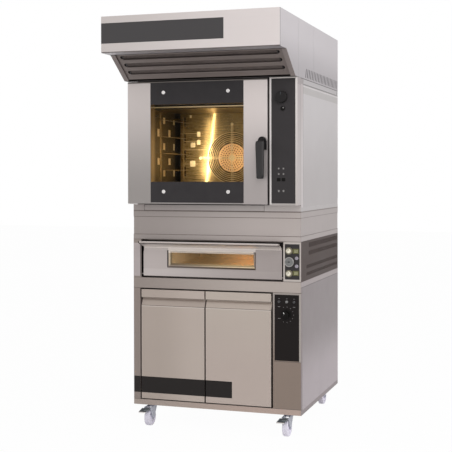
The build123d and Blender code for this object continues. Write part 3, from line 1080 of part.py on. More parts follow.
with BuildPart() as oven_control_plate:
    slab(oven_plate_x, (Y_OVEN - CONTROL_PLATE, Y_OVEN), oven_plate_z)
    rod_y(OVEN_KNOB[0], (Y_OVEN - CONTROL_PLATE, Y_OVEN), knob_z, KNOB_SHAFT + RUNNING, mode=Mode.SUBTRACT)
    rod_y(POWER_BUTTON[0], (Y_OVEN - CONTROL_PLATE, Y_OVEN), button_z, POWER_BUTTON_RADIUS + RUNNING,
          mode=Mode.SUBTRACT)
finish(oven_control_plate, "oven_control_plate")

oven_knob = control_knob(OVEN_KNOB[0], knob_z, Y_OVEN - CONTROL_PLATE, OVEN_KNOB_SIZE)
finish(oven_knob, "oven_knob")

with BuildPart() as power_button:
    button_face = Y_OVEN - CONTROL_PLATE
    rod_y(POWER_BUTTON[0], (button_face - 2 * BUTTON_TRAVEL, Y_OVEN + 2 * BUTTON_TRAVEL), button_z,
          POWER_BUTTON_RADIUS)
    fillet(power_button.faces().sort_by(Axis.Y)[0].edges(), BUTTON_TRAVEL / 3)
finish(power_button, "power_button")

# ---------------------------------------------------------------- lamps of all modules
LAMP_RADIUS = 10.0
LAMP_PROUD = 5.0
SMALL_LAMP = 8.0
OVEN_LAMP = (95.0, 430.0)    # behind the mouth, above the oven's bottom
OVEN_LAMP_RADIUS = 28.0
OVEN_LAMP_DEPTH = 18.0
with BuildPart() as lamps:
    lamp_y = Y_FRONT - CONTROL_PLATE
    for lamp_x in CABINET_LAMPS_X:
        rod_y(lamp_x, (lamp_y - LAMP_PROUD, lamp_y), LAMP_ROW_Z, SMALL_LAMP)
    for lamp_z in DECK_LAMPS_Z:
        rod_y(DECK_LAMP_X, (lamp_y - LAMP_PROUD, lamp_y), Z_DECK + lamp_z, LAMP_RADIUS)
    fillet(lamps.faces().group_by(Axis.Y)[0].edges(), LAMP_PROUD / 2)
    rod_x((mouth_x[1] - OVEN_LAMP_DEPTH, mouth_x[1]), cavity_y[0] + OVEN_LAMP[0], Z_OVEN + OVEN_LAMP[1],
          OVEN_LAMP_RADIUS)
finish(lamps, "lamps")

# ================================================================ extraction hood
FASCIA_HEIGHT = 192.0
CHEEK_DROP = 5.0             # cheek's lower edge below the fascia
SLOPE_TOP = 115.0            # behind the fascia
SLOPE_FOOT = 293.0
LIP_WIDTH = 25.0             # cheek's return beside the louvre panel
FASCIA_GAP = 3.0             # dark joint between fascia and cheek
FASCIA_RETURN = 18.0
LOUVRE_RECESS = 8.0
LOUVRE_SLOTS = 3
LOUVRE_SLOT_HEIGHT = 31.0
LOUVRE_PITCH = 62.0
LOUVRE_FIRST = 31.0
LOUVRE_MARGIN = 18.0
LOUVRE_ROLL = 4.0
FILTER_SIZE = (900.0, 190.0, 24.0)
FILTER_GAP = 14.0
FILTER_LEDGE = 5.0
FILTER_SLATS = 14
FILTER_SLAT = 40.0           # width of a slat
HOOD_VENTS = 22
HOOD_VENT = (10.0, 56.0, 20.0)     # slot width, length and slant in degrees
HOOD_VENT_SPAN = (109.0, 870.0)    # behind the body's front
HOOD_VENT_LIFT = 35.5
FOLD_LINES = (-55.0, 285.0)        # shallow fold lines on the cheeks, from the body's front
COLLAR_RADIUS = 75.0
COLLAR_WALL = 1.5
COLLAR_HEIGHT = 60.0
COLLAR_FLANGE = 95.0
COLLAR_Y = 430.0
BLOWER_RADIUS = 125.0
BLOWER_WIDTH = 130.0
BLOWER_INLET = 78.0
BLOWER_WHEEL = 95.0
BLOWER_BLADES = 20
BLOWER_BLADE = (9.0, 35.0)   # depth of a blade and its slant in degrees
BLOWER_END_GAP = 6.0         # between the wheel and each cheek
BLOWER_MOTOR = 48.0
BLOWER_MOTOR_LENGTH = 96.0
BLOWER_OUTLET = 125.0        # front to back
BLOWER_LIFT = 12.0
MOTOR_GAP = 30.0

z_cheek = Z_TOP - FASCIA_HEIGHT - CHEEK_DROP
slope_top = (Y_FASCIA + SLOPE_TOP, z_cheek)
slope_foot = (Y_FASCIA + SLOPE_FOOT, Z_HOOD)
slope = Vector(0, slope_foot[0] - slope_top[0], slope_foot[1] - slope_top[1])
slope_length = slope.length
slope_down = slope.normalized()
slope_out = Vector(0, slope_down.Z, -slope_down.Y)


def slope_plane(depth):
    """Plane of the slanted opening: local x is +X, local y runs up the slope, depth is inwards."""
    origin = Vector(0, slope_top[0], slope_top[1]) - slope_out * depth
    return Plane(origin=origin, x_dir=(1, 0, 0), z_dir=slope_out)


with BuildPart() as hood_shell:
    for side in (-1, 1):
        cheek_x = -HALF if side < 0 else HALF - SHEET
        with BuildSketch(Plane.YZ.offset(cheek_x)):
            with BuildLine():
                Polyline(
                    (Y_FASCIA + FASCIA_GAP, Z_TOP - SHEET - SEAM),
                    (Y_REAR, Z_TOP - SHEET - SEAM),
                    (Y_REAR, Z_HOOD + SEAM),
                    (slope_foot[0], Z_HOOD + SEAM),
                    (slope_top[0], z_cheek),
                    (Y_FASCIA + FASCIA_GAP, z_cheek),
                    close=True,
                )
            make_face()
            vent_middle = Y_FRONT + (HOOD_VENT_SPAN[0] + HOOD_VENT_SPAN[1]) / 2
            vent_pitch = (HOOD_VENT_SPAN[1] - HOOD_VENT_SPAN[0]) / (HOOD_VENTS - 1)
            with Locations((vent_middle, Z_HOOD + HOOD_VENT_LIFT)):
                with GridLocations(vent_pitch, 0, HOOD_VENTS, 1):
                    SlotOverall(HOOD_VENT[1], HOOD_VENT[0], rotation=90 - HOOD_VENT[2], mode=Mode.SUBTRACT)
        extrude(amount=SHEET)
        groove_x = sorted((side * HALF, side * (HALF - SHEET / 3)))
        for fold_y in FOLD_LINES:
            slab(groove_x, (Y_FRONT + fold_y, Y_FRONT + fold_y + SHEET), (Z_HOOD, Z_TOP), mode=Mode.SUBTRACT)
        lip_x = sorted((side * (HALF - SHEET - SEAM), side * (HALF - SHEET - LIP_WIDTH)))
        with BuildSketch(slope_plane(SHEET)):
            with Locations(((lip_x[0] + lip_x[1]) / 2, -slope_length / 2)):
                Rectangle(lip_x[1] - lip_x[0], slope_length)
        extrude(amount=SHEET)
    hood_inside = (-HALF + SHEET + SEAM, HALF - SHEET - SEAM)
    # top plate in strips around the duct hole
    hole = COLLAR_RADIUS - COLLAR_WALL
    top_z = (Z_TOP - SHEET, Z_TOP)
    face_y = (Y_FASCIA + FASCIA_GAP, Y_REAR)
    slab((-HALF, -hole), face_y, top_z)
    slab((hole, HALF), face_y, top_z)
    slab((-hole + SEAM, hole - SEAM), (face_y[0], COLLAR_Y - hole), top_z)
    slab((-hole + SEAM, hole - SEAM), (COLLAR_Y + hole, face_y[1]), top_z)
    slab(hood_inside, (Y_BACK - SHEET, Y_BACK), (Z_HOOD + SHEET + SEAM, Z_TOP - SHEET - SEAM))
    slab(hood_inside, (slope_foot[0] + LOUVRE_RECESS + 2 * SHEET, Y_BACK), (Z_HOOD, Z_HOOD + SHEET))
    slab(hood_inside, (Y_FASCIA + 2 * FASCIA_GAP, slope_top[0] - SHEET), (z_cheek, z_cheek + SHEET))
finish(hood_shell, "hood_shell")

with BuildPart() as hood_fascia:
    fascia_z = (Z_TOP - FASCIA_HEIGHT, Z_TOP)
    slab((-HALF, HALF), (Y_FASCIA, Y_FASCIA + SHEET), fascia_z)
    return_x = (-HALF + 2 * SHEET, HALF - 2 * SHEET)
    return_y = (Y_FASCIA, Y_FASCIA + FASCIA_RETURN)
    slab(return_x, return_y, (fascia_z[0], fascia_z[0] + SHEET))
    slab(return_x, return_y, (Z_TOP - 2 * SHEET - SEAM, Z_TOP - SHEET - SEAM))
    slab(return_x, (Y_FASCIA, Y_FASCIA + SHEET), (z_cheek, fascia_z[0]))
finish(hood_fascia, "hood_fascia")

panel_half = HALF - SHEET - SEAM - TOUCH
with BuildPart() as hood_louvre:
    with BuildSketch(slope_plane(LOUVRE_RECESS)):
        with Locations((0, -slope_length / 2)):
            Rectangle(2 * panel_half, slope_length - 2 * LOUVRE_ROLL)
        for slot in range(LOUVRE_SLOTS):
            with Locations((0, -LOUVRE_FIRST - slot * LOUVRE_PITCH)):
                SlotOverall(2 * (panel_half - LIP_WIDTH - LOUVRE_MARGIN), LOUVRE_SLOT_HEIGHT, mode=Mode.SUBTRACT)
    extrude(amount=-SHEET)
    # rolled lower lip of each slot
    for slot in range(LOUVRE_SLOTS):
        lip_down = LOUVRE_FIRST + slot * LOUVRE_PITCH + LOUVRE_SLOT_HEIGHT / 2 + LOUVRE_ROLL / 2
        roll_depth = LOUVRE_RECESS + SHEET - LOUVRE_ROLL
        roll = Vector(0, slope_top[0], slope_top[1]) + slope_down * lip_down - slope_out * roll_depth
        reach = panel_half - LIP_WIDTH - LOUVRE_MARGIN - LOUVRE_SLOT_HEIGHT / 2
        rod_x((-reach, reach), roll.Y, roll.Z, LOUVRE_ROLL)
finish(hood_louvre, "hood_louvre")

filter_depth = LOUVRE_RECESS + SHEET + FILTER_GAP
with BuildPart() as grease_filter:
    filter_plane = slope_plane(filter_depth)
    with BuildSketch(filter_plane):
        with Locations((0, -slope_length / 2)):
            Rectangle(FILTER_SIZE[0], FILTER_SIZE[1])
            Rectangle(FILTER_SIZE[0] - FILTER_SIZE[2], FILTER_SIZE[1] - FILTER_SIZE[2], mode=Mode.SUBTRACT)
    extrude(amount=-FILTER_SIZE[2])
    with BuildSketch(filter_plane.offset(-FILTER_SIZE[2] / 3)):
        with Locations((0, -slope_length / 2)):
            with GridLocations(FILTER_SIZE[0] / FILTER_SLATS, 0, FILTER_SLATS, 1):
                Rectangle(FILTER_SLAT, FILTER_SIZE[1] - FILTER_SIZE[2])
    extrude(amount=-2 * SHEET)
    # ledges that carry the cassette on the back of the louvre panel
    with BuildSketch(slope_plane(LOUVRE_RECESS + SHEET)):
        for end in (-1, 1):
            with Locations((end * (FILTER_SIZE[0] / 2 - FILTER_LEDGE / 2), -slope_length / 2)):
                Rectangle(FILTER_LEDGE, FILTER_SIZE[1])
    extrude(amount=-FILTER_GAP)
finish(grease_filter, "grease_filter")

blower_z = Z_HOOD + SHEET + BLOWER_LIFT + BLOWER_RADIUS
blower_half = BLOWER_WIDTH / 2
outlet_half = BLOWER_OUTLET / 2
outlet_rise = sqrt(BLOWER_RADIUS**2 - outlet_half**2)
hood_floor = Z_HOOD + SHEET
motor_x = (-blower_half - MOTOR_GAP - BLOWER_MOTOR_LENGTH, -blower_half - MOTOR_GAP)
shaft_end = motor_x[1] - BLOWER_MOTOR_LENGTH / 2
with BuildPart() as hood_blower:
    # curved wrapper, open on top where the outlet starts
    wrap_half = blower_half - SEAM
    with BuildSketch(Plane.YZ.offset(-wrap_half)):
        with Locations((COLLAR_Y, blower_z)):
            Circle(BLOWER_RADIUS)
            Circle(BLOWER_RADIUS - SHEET, mode=Mode.SUBTRACT)
            with Locations((0, BLOWER_RADIUS)):
                Rectangle(BLOWER_OUTLET, 2 * (BLOWER_RADIUS - outlet_rise) + 4 * SHEET, mode=Mode.SUBTRACT)
    extrude(amount=2 * wrap_half)
    # flat cheeks, each with a round inlet
    for cheek_start in (-blower_half - SHEET, blower_half):
        with BuildSketch(Plane.YZ.offset(cheek_start)):
            with Locations((COLLAR_Y, blower_z)):
                Circle(BLOWER_RADIUS)
                Circle(BLOWER_INLET, mode=Mode.SUBTRACT)
        extrude(amount=SHEET)
    # throat of four plates between the wrapper and the hood's top
    throat_z = (blower_z + outlet_rise + SEAM, Z_TOP - SHEET - SEAM)
    for side in (-1, 1):
        side_plate = sorted((side * wrap_half, side * (wrap_half - SHEET)))
        slab(side_plate, (COLLAR_Y - outlet_half, COLLAR_Y + outlet_half), throat_z)
        face_plate = sorted((COLLAR_Y + side * outlet_half, COLLAR_Y + side * (outlet_half - SHEET)))
        slab((-wrap_half + SHEET + SEAM, wrap_half - SHEET - SEAM), face_plate, throat_z)
    # base plate and two uprights under the wrapper
    slab((motor_x[0], blower_half), (COLLAR_Y - outlet_half - PLATE, COLLAR_Y + outlet_half + PLATE),
         (hood_floor, hood_floor + PLATE))
    for foot_y in (COLLAR_Y - outlet_half - PLATE, COLLAR_Y + outlet_half):
        slab((-blower_half, blower_half), (foot_y, foot_y + PLATE),
             (hood_floor + PLATE, blower_z - outlet_rise - SEAM))
    # motor beside the left inlet, on a block
    rod_x(motor_x, COLLAR_Y, blower_z, BLOWER_MOTOR)
    rod_x((shaft_end, motor_x[1]), COLLAR_Y, blower_z, SHAFT_RADIUS + RUNNING, mode=Mode.SUBTRACT)
    slab((motor_x[0] + PLATE, motor_x[1] - PLATE), (COLLAR_Y - BLOWER_MOTOR / 2, COLLAR_Y + BLOWER_MOTOR / 2),
         (hood_floor + PLATE, blower_z - BLOWER_MOTOR - SEAM))
finish(hood_blower, "hood_blower")

with BuildPart() as hood_fan:
    wheel_half = blower_half - BLOWER_END_GAP
    rod_x((-SHEET, SHEET), COLLAR_Y, blower_z, BLOWER_WHEEL)
    with BuildSketch(Plane.YZ.offset(-wheel_half)):
        with Locations((COLLAR_Y, blower_z)):
            with PolarLocations(BLOWER_WHEEL - BLOWER_BLADE[0] / 2, BLOWER_BLADES):
                Rectangle(BLOWER_BLADE[0], SHEET, rotation=BLOWER_BLADE[1])
    extrude(amount=2 * wheel_half)
    for rim_x in ((-wheel_half, -wheel_half + SHEET), (wheel_half - SHEET, wheel_half)):
        rod_x(rim_x, COLLAR_Y, blower_z, BLOWER_WHEEL)
        rod_x(rim_x, COLLAR_Y, blower_z, BLOWER_WHEEL - BLOWER_BLADE[0], mode=Mode.SUBTRACT)
    rod_x((shaft_end + TOUCH, 2 * SHAFT_RADIUS), COLLAR_Y, blower_z, SHAFT_RADIUS)
    rod_x((-2 * SHAFT_RADIUS, 2 * SHAFT_RADIUS), COLLAR_Y, blower_z, 2 * SHAFT_RADIUS)
finish(hood_fan, "hood_fan")

with BuildPart() as duct_collar:
    # flange, then the tube that is welded on top of it
    rod_z(0, COLLAR_Y, (Z_TOP, Z_TOP + SHEET), COLLAR_FLANGE)
    rod_z(0, COLLAR_Y, (Z_TOP, Z_TOP + SHEET), hole, mode=Mode.SUBTRACT)
    with BuildSketch(Plane.XY.offset(Z_TOP + SHEET + SEAM)):
        with Locations((0, COLLAR_Y)):
            Circle(COLLAR_RADIUS)
            Circle(hole, mode=Mode.SUBTRACT)
    extrude(amount=COLLAR_HEIGHT - SHEET - SEAM)
finish(duct_collar, "duct_collar")
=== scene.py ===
# %% [markdown]
# This is a lesson on dressing a bakery oven stack: a proving cabinet on castors, a one-deck stone oven, a
# convection oven with a glass door and an extraction hood. The construction is already made and packed, so
# the first step only loads it. Every length below is in metres, with Z up and the fronts facing -Y.

from math import cos, pi, radians, sin

import bmesh
import bpy
from mathutils import Matrix, Vector


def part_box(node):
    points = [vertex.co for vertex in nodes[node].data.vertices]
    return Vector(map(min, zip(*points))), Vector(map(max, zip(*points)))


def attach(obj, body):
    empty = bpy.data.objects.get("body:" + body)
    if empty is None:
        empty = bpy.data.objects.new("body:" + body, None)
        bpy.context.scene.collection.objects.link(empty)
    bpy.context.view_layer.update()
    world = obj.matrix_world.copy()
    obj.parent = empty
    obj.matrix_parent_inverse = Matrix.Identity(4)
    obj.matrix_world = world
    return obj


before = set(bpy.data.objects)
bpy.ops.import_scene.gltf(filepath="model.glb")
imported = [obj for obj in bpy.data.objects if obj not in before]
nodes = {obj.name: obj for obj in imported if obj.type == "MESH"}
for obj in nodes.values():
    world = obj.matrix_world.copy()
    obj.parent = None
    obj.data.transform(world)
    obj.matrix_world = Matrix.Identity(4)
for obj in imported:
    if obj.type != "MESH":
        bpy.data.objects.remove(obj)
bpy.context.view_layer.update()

# %% [markdown]
# The camera stands over five metres in front of the stack, to its right, at a height of 1.46 m. A long lens
# with a small shift frames the whole stack without tilting the camera, so the uprights stay parallel.

# %% Camera
def stand(name, data):
    """An object that shows this data, linked into the scene."""
    made = bpy.data.objects.new(name, data)
    bpy.context.scene.collection.objects.link(made)
    return made


LENS = 78.02
CAMERA_AT = (1.9112, -5.4691, 1.4566)
CAMERA_YAW = radians(17.357)
CAMERA_PITCH = radians(-0.753)
CAMERA_ROLL = radians(-0.065)

camera_data = bpy.data.cameras.new("camera")
camera_data.lens = LENS
camera_data.sensor_width = 36.0
camera_data.shift_x = -0.0794
camera_data.shift_y = -0.0831
camera = stand("camera", camera_data)
turn = (Matrix.Rotation(CAMERA_YAW, 4, "Z") @ Matrix.Rotation(pi / 2 + CAMERA_PITCH, 4, "X")
        @ Matrix.Rotation(CAMERA_ROLL, 4, "Z"))
camera.matrix_world = Matrix.Translation(CAMERA_AT) @ turn
bpy.context.scene.camera = camera
bpy.context.scene.view_settings.view_transform = "Standard"
print("camera at", CAMERA_AT, "with a lens of", LENS, "mm")

# %% [markdown]
# A finish in Blender is a tree of shader nodes. Wiring one by hand takes many lines, so two small classes
# do it. A Wire is a socket that understands Python's + - * ** and comparisons: each adds a Math node. A
# Finish owns the tree: node() adds any other node, and shade() ends the tree and keeps the material in
# looks, under the finish's name. Colours are written as eyes see them, and tone() converts them.

# %% Shader maths as Python
looks = {}


def operator(operation, swapped=False):
    """A method that adds a Math node; swapped puts the wire second."""
    def method(wire, other=0.0):
        first, second = (other, wire) if swapped else (wire, other)
        return wire.finish.node("Math", {"operation": operation}, {0: first, 1: second})
    return method


class Wire:
    """A socket that Python's operators can work with."""

    def __init__(self, finish, socket):
        self.finish = finish
        self.socket = socket

    __add__ = __radd__ = operator("ADD")
    __sub__ = operator("SUBTRACT")
    __rsub__ = operator("SUBTRACT", swapped=True)
    __mul__ = __rmul__ = operator("MULTIPLY")
    __pow__ = operator("POWER")
    __gt__ = operator("GREATER_THAN")
    __lt__ = operator("LESS_THAN")
    __abs__ = operator("ABSOLUTE")
    either = operator("MAXIMUM")


class Finish:
    """A material or world tree, built from nodes and wires."""

    def __init__(self, name, tree=None):
        self.name = name
        if tree is None:
            self.material = bpy.data.materials.new(name)
            self.material.use_nodes = True
            tree = self.material.node_tree
        tree.nodes.clear()
        self.tree = tree

    def node(self, kind, settings=None, inputs=None, out=0):
        """Add one node of a kind, such as Math: its settings, then the values or links of its sockets."""
        made = self.tree.nodes.new("ShaderNode" + kind)
        for key, value in (settings or {}).items():
            setattr(made, key, value)
        for key, value in (inputs or {}).items():
            if isinstance(value, Wire):
                self.tree.links.new(value.socket, made.inputs[key])
            else:
                made.inputs[key].default_value = value
        return Wire(self, made.outputs[out]) if len(made.outputs) else made

    def shade(self, **values):
        """The Principled shader and the output; a name's underscores stand for spaces."""
        inputs = {name.replace("_", " "): value for name, value in values.items()}
        shader = self.node("BsdfPrincipled", {}, inputs)
        self.node("OutputMaterial", {}, {"Surface": shader})
        looks[self.name] = self.material


def tone(colour):
    """Turn a colour as eyes see it, three numbers to 255, into the linear values of shaders."""
    if isinstance(colour, Wire) or len(colour) == 4:
        return colour
    levels = [c / 255 for c in colour]
    return tuple(v / 12.92 if v < 0.04 else ((v + 0.055) / 1.055) ** 2.4 for v in levels) + (1.0,)


print("a mid grey of 128 is", round(tone((128, 128, 128))[0], 3), "in linear light")

# %% [markdown]
# Every finish needs the same few tools. begin() gives the point on the piece in metres, which doesn't
# change when a door swings. noise() makes clouds, brushing or mould grain, by how it is squeezed along each
# axis. zone() is 1 inside a box and 0 outside, and fade() runs from 0 to 1 between two places.

# %% Tools that the finishes share
def begin(name):
    """A new finish, then the point on the piece as three wires and as one vector."""
    finish = Finish(name)
    point = finish.node("TexCoord", out="Object")
    wires = {axis: finish.node("SeparateXYZ", {}, {0: point}, axis.upper()) for axis in "xyz"}
    return finish, wires, point


def squeezed(finish, vector, cells):
    """The place multiplied along X, Y and Z, which makes a pattern finer."""
    cells = (cells,) * 3 if isinstance(cells, float) else cells
    return finish.node("VectorMath", {"operation": "MULTIPLY"}, {0: vector, 1: cells})


def noise(finish, vector, cells, detail=2.0):
    """Noise with this many cells in a metre, all round or along X, Y and Z."""
    inputs = {"Vector": squeezed(finish, vector, cells), "Scale": 1.0, "Detail": detail}
    return finish.node("TexNoise", {}, inputs)


def off_axis(wires, axis):
    """How far the point is from a line that runs along Y through this (x, z)."""
    x = wires["x"] - axis[0]
    z = wires["z"] - axis[1]
    return (x * x + z * z) ** 0.5


def zone(wires, limits):
    """1 where the point lies inside all the limits, such as {"z": (0.1, 0.2)}."""
    inside = 1.0
    for axis, (low, high) in limits.items():
        inside = (wires[axis] > low) * (wires[axis] < high) * inside
    return inside


def fade(finish, wire, start, end):
    """0 at the start and 1 at the end of a stretch."""
    ends = {"Value": wire, "From Min": start, "From Max": end}
    return finish.node("MapRange", {"interpolation_type": "SMOOTHSTEP"}, ends)


def blend(finish, share, first, second):
    """A colour between two others."""
    ends = {0: share, 6: tone(first), 7: tone(second)}
    return finish.node("Mix", {"data_type": "RGBA"}, ends, 2)


def layers(finish, colour, *rows):
    """Lay more colours over the first, each where its share says."""
    for share, shade in rows:
        colour = blend(finish, share, colour, shade)
    return colour


def bump(finish, height, depth):
    return finish.node("Bump", {}, {"Height": height, "Distance": depth, "Strength": 1.0})


def shaded(colour, factor):
    """The same colour, made lighter or darker."""
    return tuple(min(1.0, c * factor) for c in tone(colour)[:3]) + (1.0,)


# %% [markdown]
# The studio is plain: a white floor, a white surround and three soft lamps. The surround is white to the
# camera and in reflections, but lights the stack less, so that pale steel doesn't burn out. The floor mixes
# a white glow with a diffuse part that keeps the shadow under the castors.

# %% Floor, surround and lamps
AMBIENT = 0.5
FLOOR_SIZE = 40.0
FLOOR_GLOW = 0.975


def seen_directly(finish):
    """1 on rays that look at the studio: from the camera, by reflection or through glass."""
    camera_ray = finish.node("LightPath", out="Is Camera Ray")
    glossy_ray = finish.node("LightPath", out="Is Glossy Ray")
    through_ray = finish.node("LightPath", out="Is Transmission Ray")
    return camera_ray.either(glossy_ray).either(through_ray)


world = bpy.data.worlds.new("studio")
bpy.context.scene.world = world
world.use_nodes = True
sky = Finish("studio", world.node_tree)
level = seen_directly(sky) * (1 - AMBIENT) + AMBIENT
surround = sky.node("Background", {}, {"Color": (1, 1, 1, 1), "Strength": level})
sky.node("OutputWorld", {}, {"Surface": surround})

floor_mesh = bpy.data.meshes.new("floor")
shape = bmesh.new()
bmesh.ops.create_grid(shape, x_segments=2, y_segments=2, size=FLOOR_SIZE / 2)
shape.to_mesh(floor_mesh)
floor = stand("floor", floor_mesh)

paper = Finish("floor_paper")
diffuse = paper.node("BsdfDiffuse", {}, {"Color": (0.9, 0.9, 0.9, 1)})
glow = paper.node("Emission", {}, {"Color": (1, 1, 1, 1), "Strength": 1.0})
mixed = paper.node("MixShader", {}, {0: seen_directly(paper) * FLOOR_GLOW, 1: diffuse, 2: glow})
paper.node("OutputMaterial", {}, {"Surface": mixed})
floor_mesh.materials.append(paper.material)


def light(name, kind, at, power, colour):
    """A light of this kind; its matrix or its size may follow."""
    data = bpy.data.lights.new(name, kind)
    data.energy = power
    data.color = colour
    made = stand(name, data)
    made.location = at
    return made


def soft_lamp(name, at, target, size, power, colour=(1, 1, 1), lean=0.0):
    """A softbox, (width, height), that points at a spot on the stack and may lean to one side."""
    lamp = light(name, "AREA", at, power, colour)
    lamp.data.shape = "RECTANGLE"
    lamp.data.size, lamp.data.size_y = size
    aim = (Vector(target) - Vector(at)).to_track_quat("-Z", "Y").to_matrix().to_4x4()
    lamp.matrix_world = Matrix.Translation(at) @ aim @ Matrix.Rotation(radians(lean), 4, "Z")
    return lamp


MIDDLE = (0.0, 0.0, 1.3)
soft_lamp("key_lamp", (2.2, -3.6, 3.6), MIDDLE, (2.4, 2.4), 62)
soft_lamp("side_lamp", (4.6, -0.6, 2.6), MIDDLE, (3.0, 3.0), 60)
soft_lamp("fill_lamp", (-3.6, -4.2, 1.8), MIDDLE, (3.0, 3.0), 10)
print("floor", FLOOR_SIZE, "m wide and three lamps")

# %% [markdown]
# Most of the stack is brushed stainless steel: fine scratches in one direction, and a tone that runs from
# one end of a sheet to the other, which is painted light and shade, mostly darker at the left and near the
# bottom.
# The scratches are noise squeezed across the brushing. They drive the roughness and a shallow bump, and a
# broad noise drifts the colour. zones are areas of the same sheet with another tone, or with two tones and
# the
# run between them: most are painted highlights on lit edges and painted shade in gaps, recesses and under
# lips. prints are painted areas. lit paints a warm glow as emission on the folded edge between two lit
# panes, a painted light where a little of the lamps' light gets.

# %% Brushed steel
GRAIN_FINE = 900.0
GRAIN_LONG = 6.0
CLOUD = 2.2
SMUDGE = 11.0
GRAIN_DEPTH = 0.00004
DRIFT = 0.07
MEAN_WEAR = 0.09
AXES = "xyz"


def drift(finish, wires, first, second, run):
    """A colour that runs from one tone to another along (axis, start, end)."""
    return blend(finish, fade(finish, wires[run[0]], run[1], run[2]), first, second)


def brushed_steel(name, tones, run, along="z", zones=(), prints=(), rough=0.42, metal=0.45, lit=None,
                  gloss=0.5):
    """Steel whose tone runs from the first to the second along (axis, start, end): a painted light and
    shade.
    """
    finish, wires, point = begin(name)
    cells = [GRAIN_LONG if axis == along else GRAIN_FINE for axis in AXES]
    grain = noise(finish, point, cells)
    cloud = noise(finish, point, CLOUD)
    smudge = noise(finish, point, SMUDGE, 4.0)
    colour = drift(finish, wires, *tones, run)
    for shade, limits, *rest in zones:
        if rest:
            shade = drift(finish, wires, shade, *rest)
        colour = blend(finish, zone(wires, limits), colour, shade)
    mottle = cloud * 0.6 + grain * 0.4
    ends = {"Value": mottle, "To Min": 1 - DRIFT, "To Max": 1 + DRIFT}
    level = finish.node("MapRange", {}, ends)
    colour = finish.node("VectorMath", {"operation": "SCALE"}, {0: colour, "Scale": level})
    roughness = grain * 0.1 + smudge * 0.08 + (rough - MEAN_WEAR)
    metallic = metal
    for shade, limits in prints:
        print_mask = zone(wires, limits)
        colour = blend(finish, print_mask, colour, shade)
        metallic = (1 - print_mask) * metallic
    normal = bump(finish, grain, GRAIN_DEPTH)
    values = {"Specular_IOR_Level": gloss}
    # lit paints a warm glow as emission: painted light where the lamps' light would reach.
    if lit:
        limits, *glows = lit
        warmth = drift(finish, wires, *glows)
        values["Emission_Color"] = blend(finish, zone(wires, limits), (0, 0, 0), warmth)
        values["Emission_Strength"] = 1.0
    finish.shade(Base_Color=colour, Metallic=metallic, Roughness=roughness, Normal=normal, **values)


# %% [markdown]
# A joint between two sheets collects shadow and a little dirt, so it reads as a thin soft line. joint()
# makes that line as a narrow zone.

# %% Joints between sheets
JOINT = 0.0016
warm_joint = (118, 108, 103)
cool_joint = (120, 115, 116)
dark_joint = (62, 58, 57)


def joint(axis, at, shade=warm_joint, **others):
    """A thin darker line across the sheet."""
    return shade, {axis: (at - JOINT, at + JOINT), **others}


casing_low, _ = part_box("oven_casing")
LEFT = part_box("cabinet_frame")[0].x
print("the sheets start at x =", round(LEFT, 4))

# %% [markdown]
# The hood is one folded shell with a fascia screwed in front. The rim of its sloped mouth is painted dark
# like the louvre, a painted shade on the cheeks' edges, and its inside and floor are painted near-black as
# shade. A point lies on the rim when it is close to the slope's plane, and that distance is a weighted sum
# of Y and Z.

# %% Hood
SLOPE_TOP = Vector((0.0, -0.54, 2.121))
SLOPE_FOOT = Vector((0.0, -0.362, 1.995))
RIM = 0.003
FLOOR_TOP = 1.9972
slope_along = (SLOPE_FOOT - SLOPE_TOP).normalized()
slope_in = slope_along.cross(Vector((-1, 0, 0))).normalized()
shell, wires, point = begin("hood_shell_steel")
from_slope = abs((wires["y"] - SLOPE_TOP.y) * slope_in.y + (wires["z"] - SLOPE_TOP.z) * slope_in.z)
rim = (from_slope < RIM) * (wires["y"] > SLOPE_TOP.y - 0.001) * (wires["y"] < SLOPE_FOOT.y + 0.001)
inside = zone(wires, {"x": (-0.5047, 0.5047), "y": (-0.56, 0.6385), "z": (1.9962, 2.3172)})
dark = inside.either(zone(wires, {"x": (-0.5035, 0.5035), "z": (1.99, FLOOR_TOP)}))
painted_shade_mask = dark.either(rim)
grain = noise(shell, point, (GRAIN_FINE, GRAIN_LONG, GRAIN_FINE))
cloud = noise(shell, point, CLOUD)
# Painted shade: the shell grows darker towards the bottom, and the inside, the floor and the rim are painted
# dark and dull.
skin = layers(
    shell, drift(shell, wires, (162, 156, 159), (198, 192, 195), ("z", 2.02, 2.24)),
    (cloud * 0.5, (188, 182, 185)), ((wires["y"] < -0.6496) * (wires["x"] > 0.5), (112, 106, 106)),
    ((wires["z"] < FLOOR_TOP) * (wires["y"] > -0.36), (120, 113, 114)), (dark, (44, 40, 39)),
    (rim, (138, 127, 124)))
shell.shade(Base_Color=skin, Metallic=(1 - painted_shade_mask) * 0.4, Roughness=grain * 0.1 + painted_shade_mask * 0.2 + 0.38,
            Normal=bump(shell, grain, GRAIN_DEPTH))
# The fascia is painted darker at its left, its right end takes a side's tone, and a painted shadow line runs
# along its lower edge.
brushed_steel("fascia_steel", ((203, 195, 192), (219, 210, 208)), ("x", LEFT, 0.3), "x", zones=[
    ((188, 182, 184), {"x": (0.5035, 0.51)}), ((104, 96, 94), {"z": (2.1205, 2.1258)})],
    prints=[((56, 53, 54), {"x": (LEFT - 0.01, 0.198), "z": (2.171, 2.281), "y": (-0.7, -0.6535)})])
print("hood shell and fascia finished; the slope looks along", tuple(round(v, 3) for v in slope_in))

# %% [markdown]
# Each sheet has its own tone, painted lighter or darker by the way it faces the lamps, and most fronts are
# painted darker at the left. The sides of a module are areas of the same sheet, with a painted side tone.

# %% Sheets of the convection oven
SIDE = {"x": (0.5031, 0.51)}
OTHER_SIDE = {"x": (-0.51, -0.5031)}
FACE = {"y": (-0.26, -0.2435)}
COLUMN_FACE = {"y": (-0.33, -0.3185)}


def with_side(side, *others):
    """The side's painted tone on both flanks, then the other zones."""
    return [(side, SIDE), (side, OTHER_SIDE), *others]


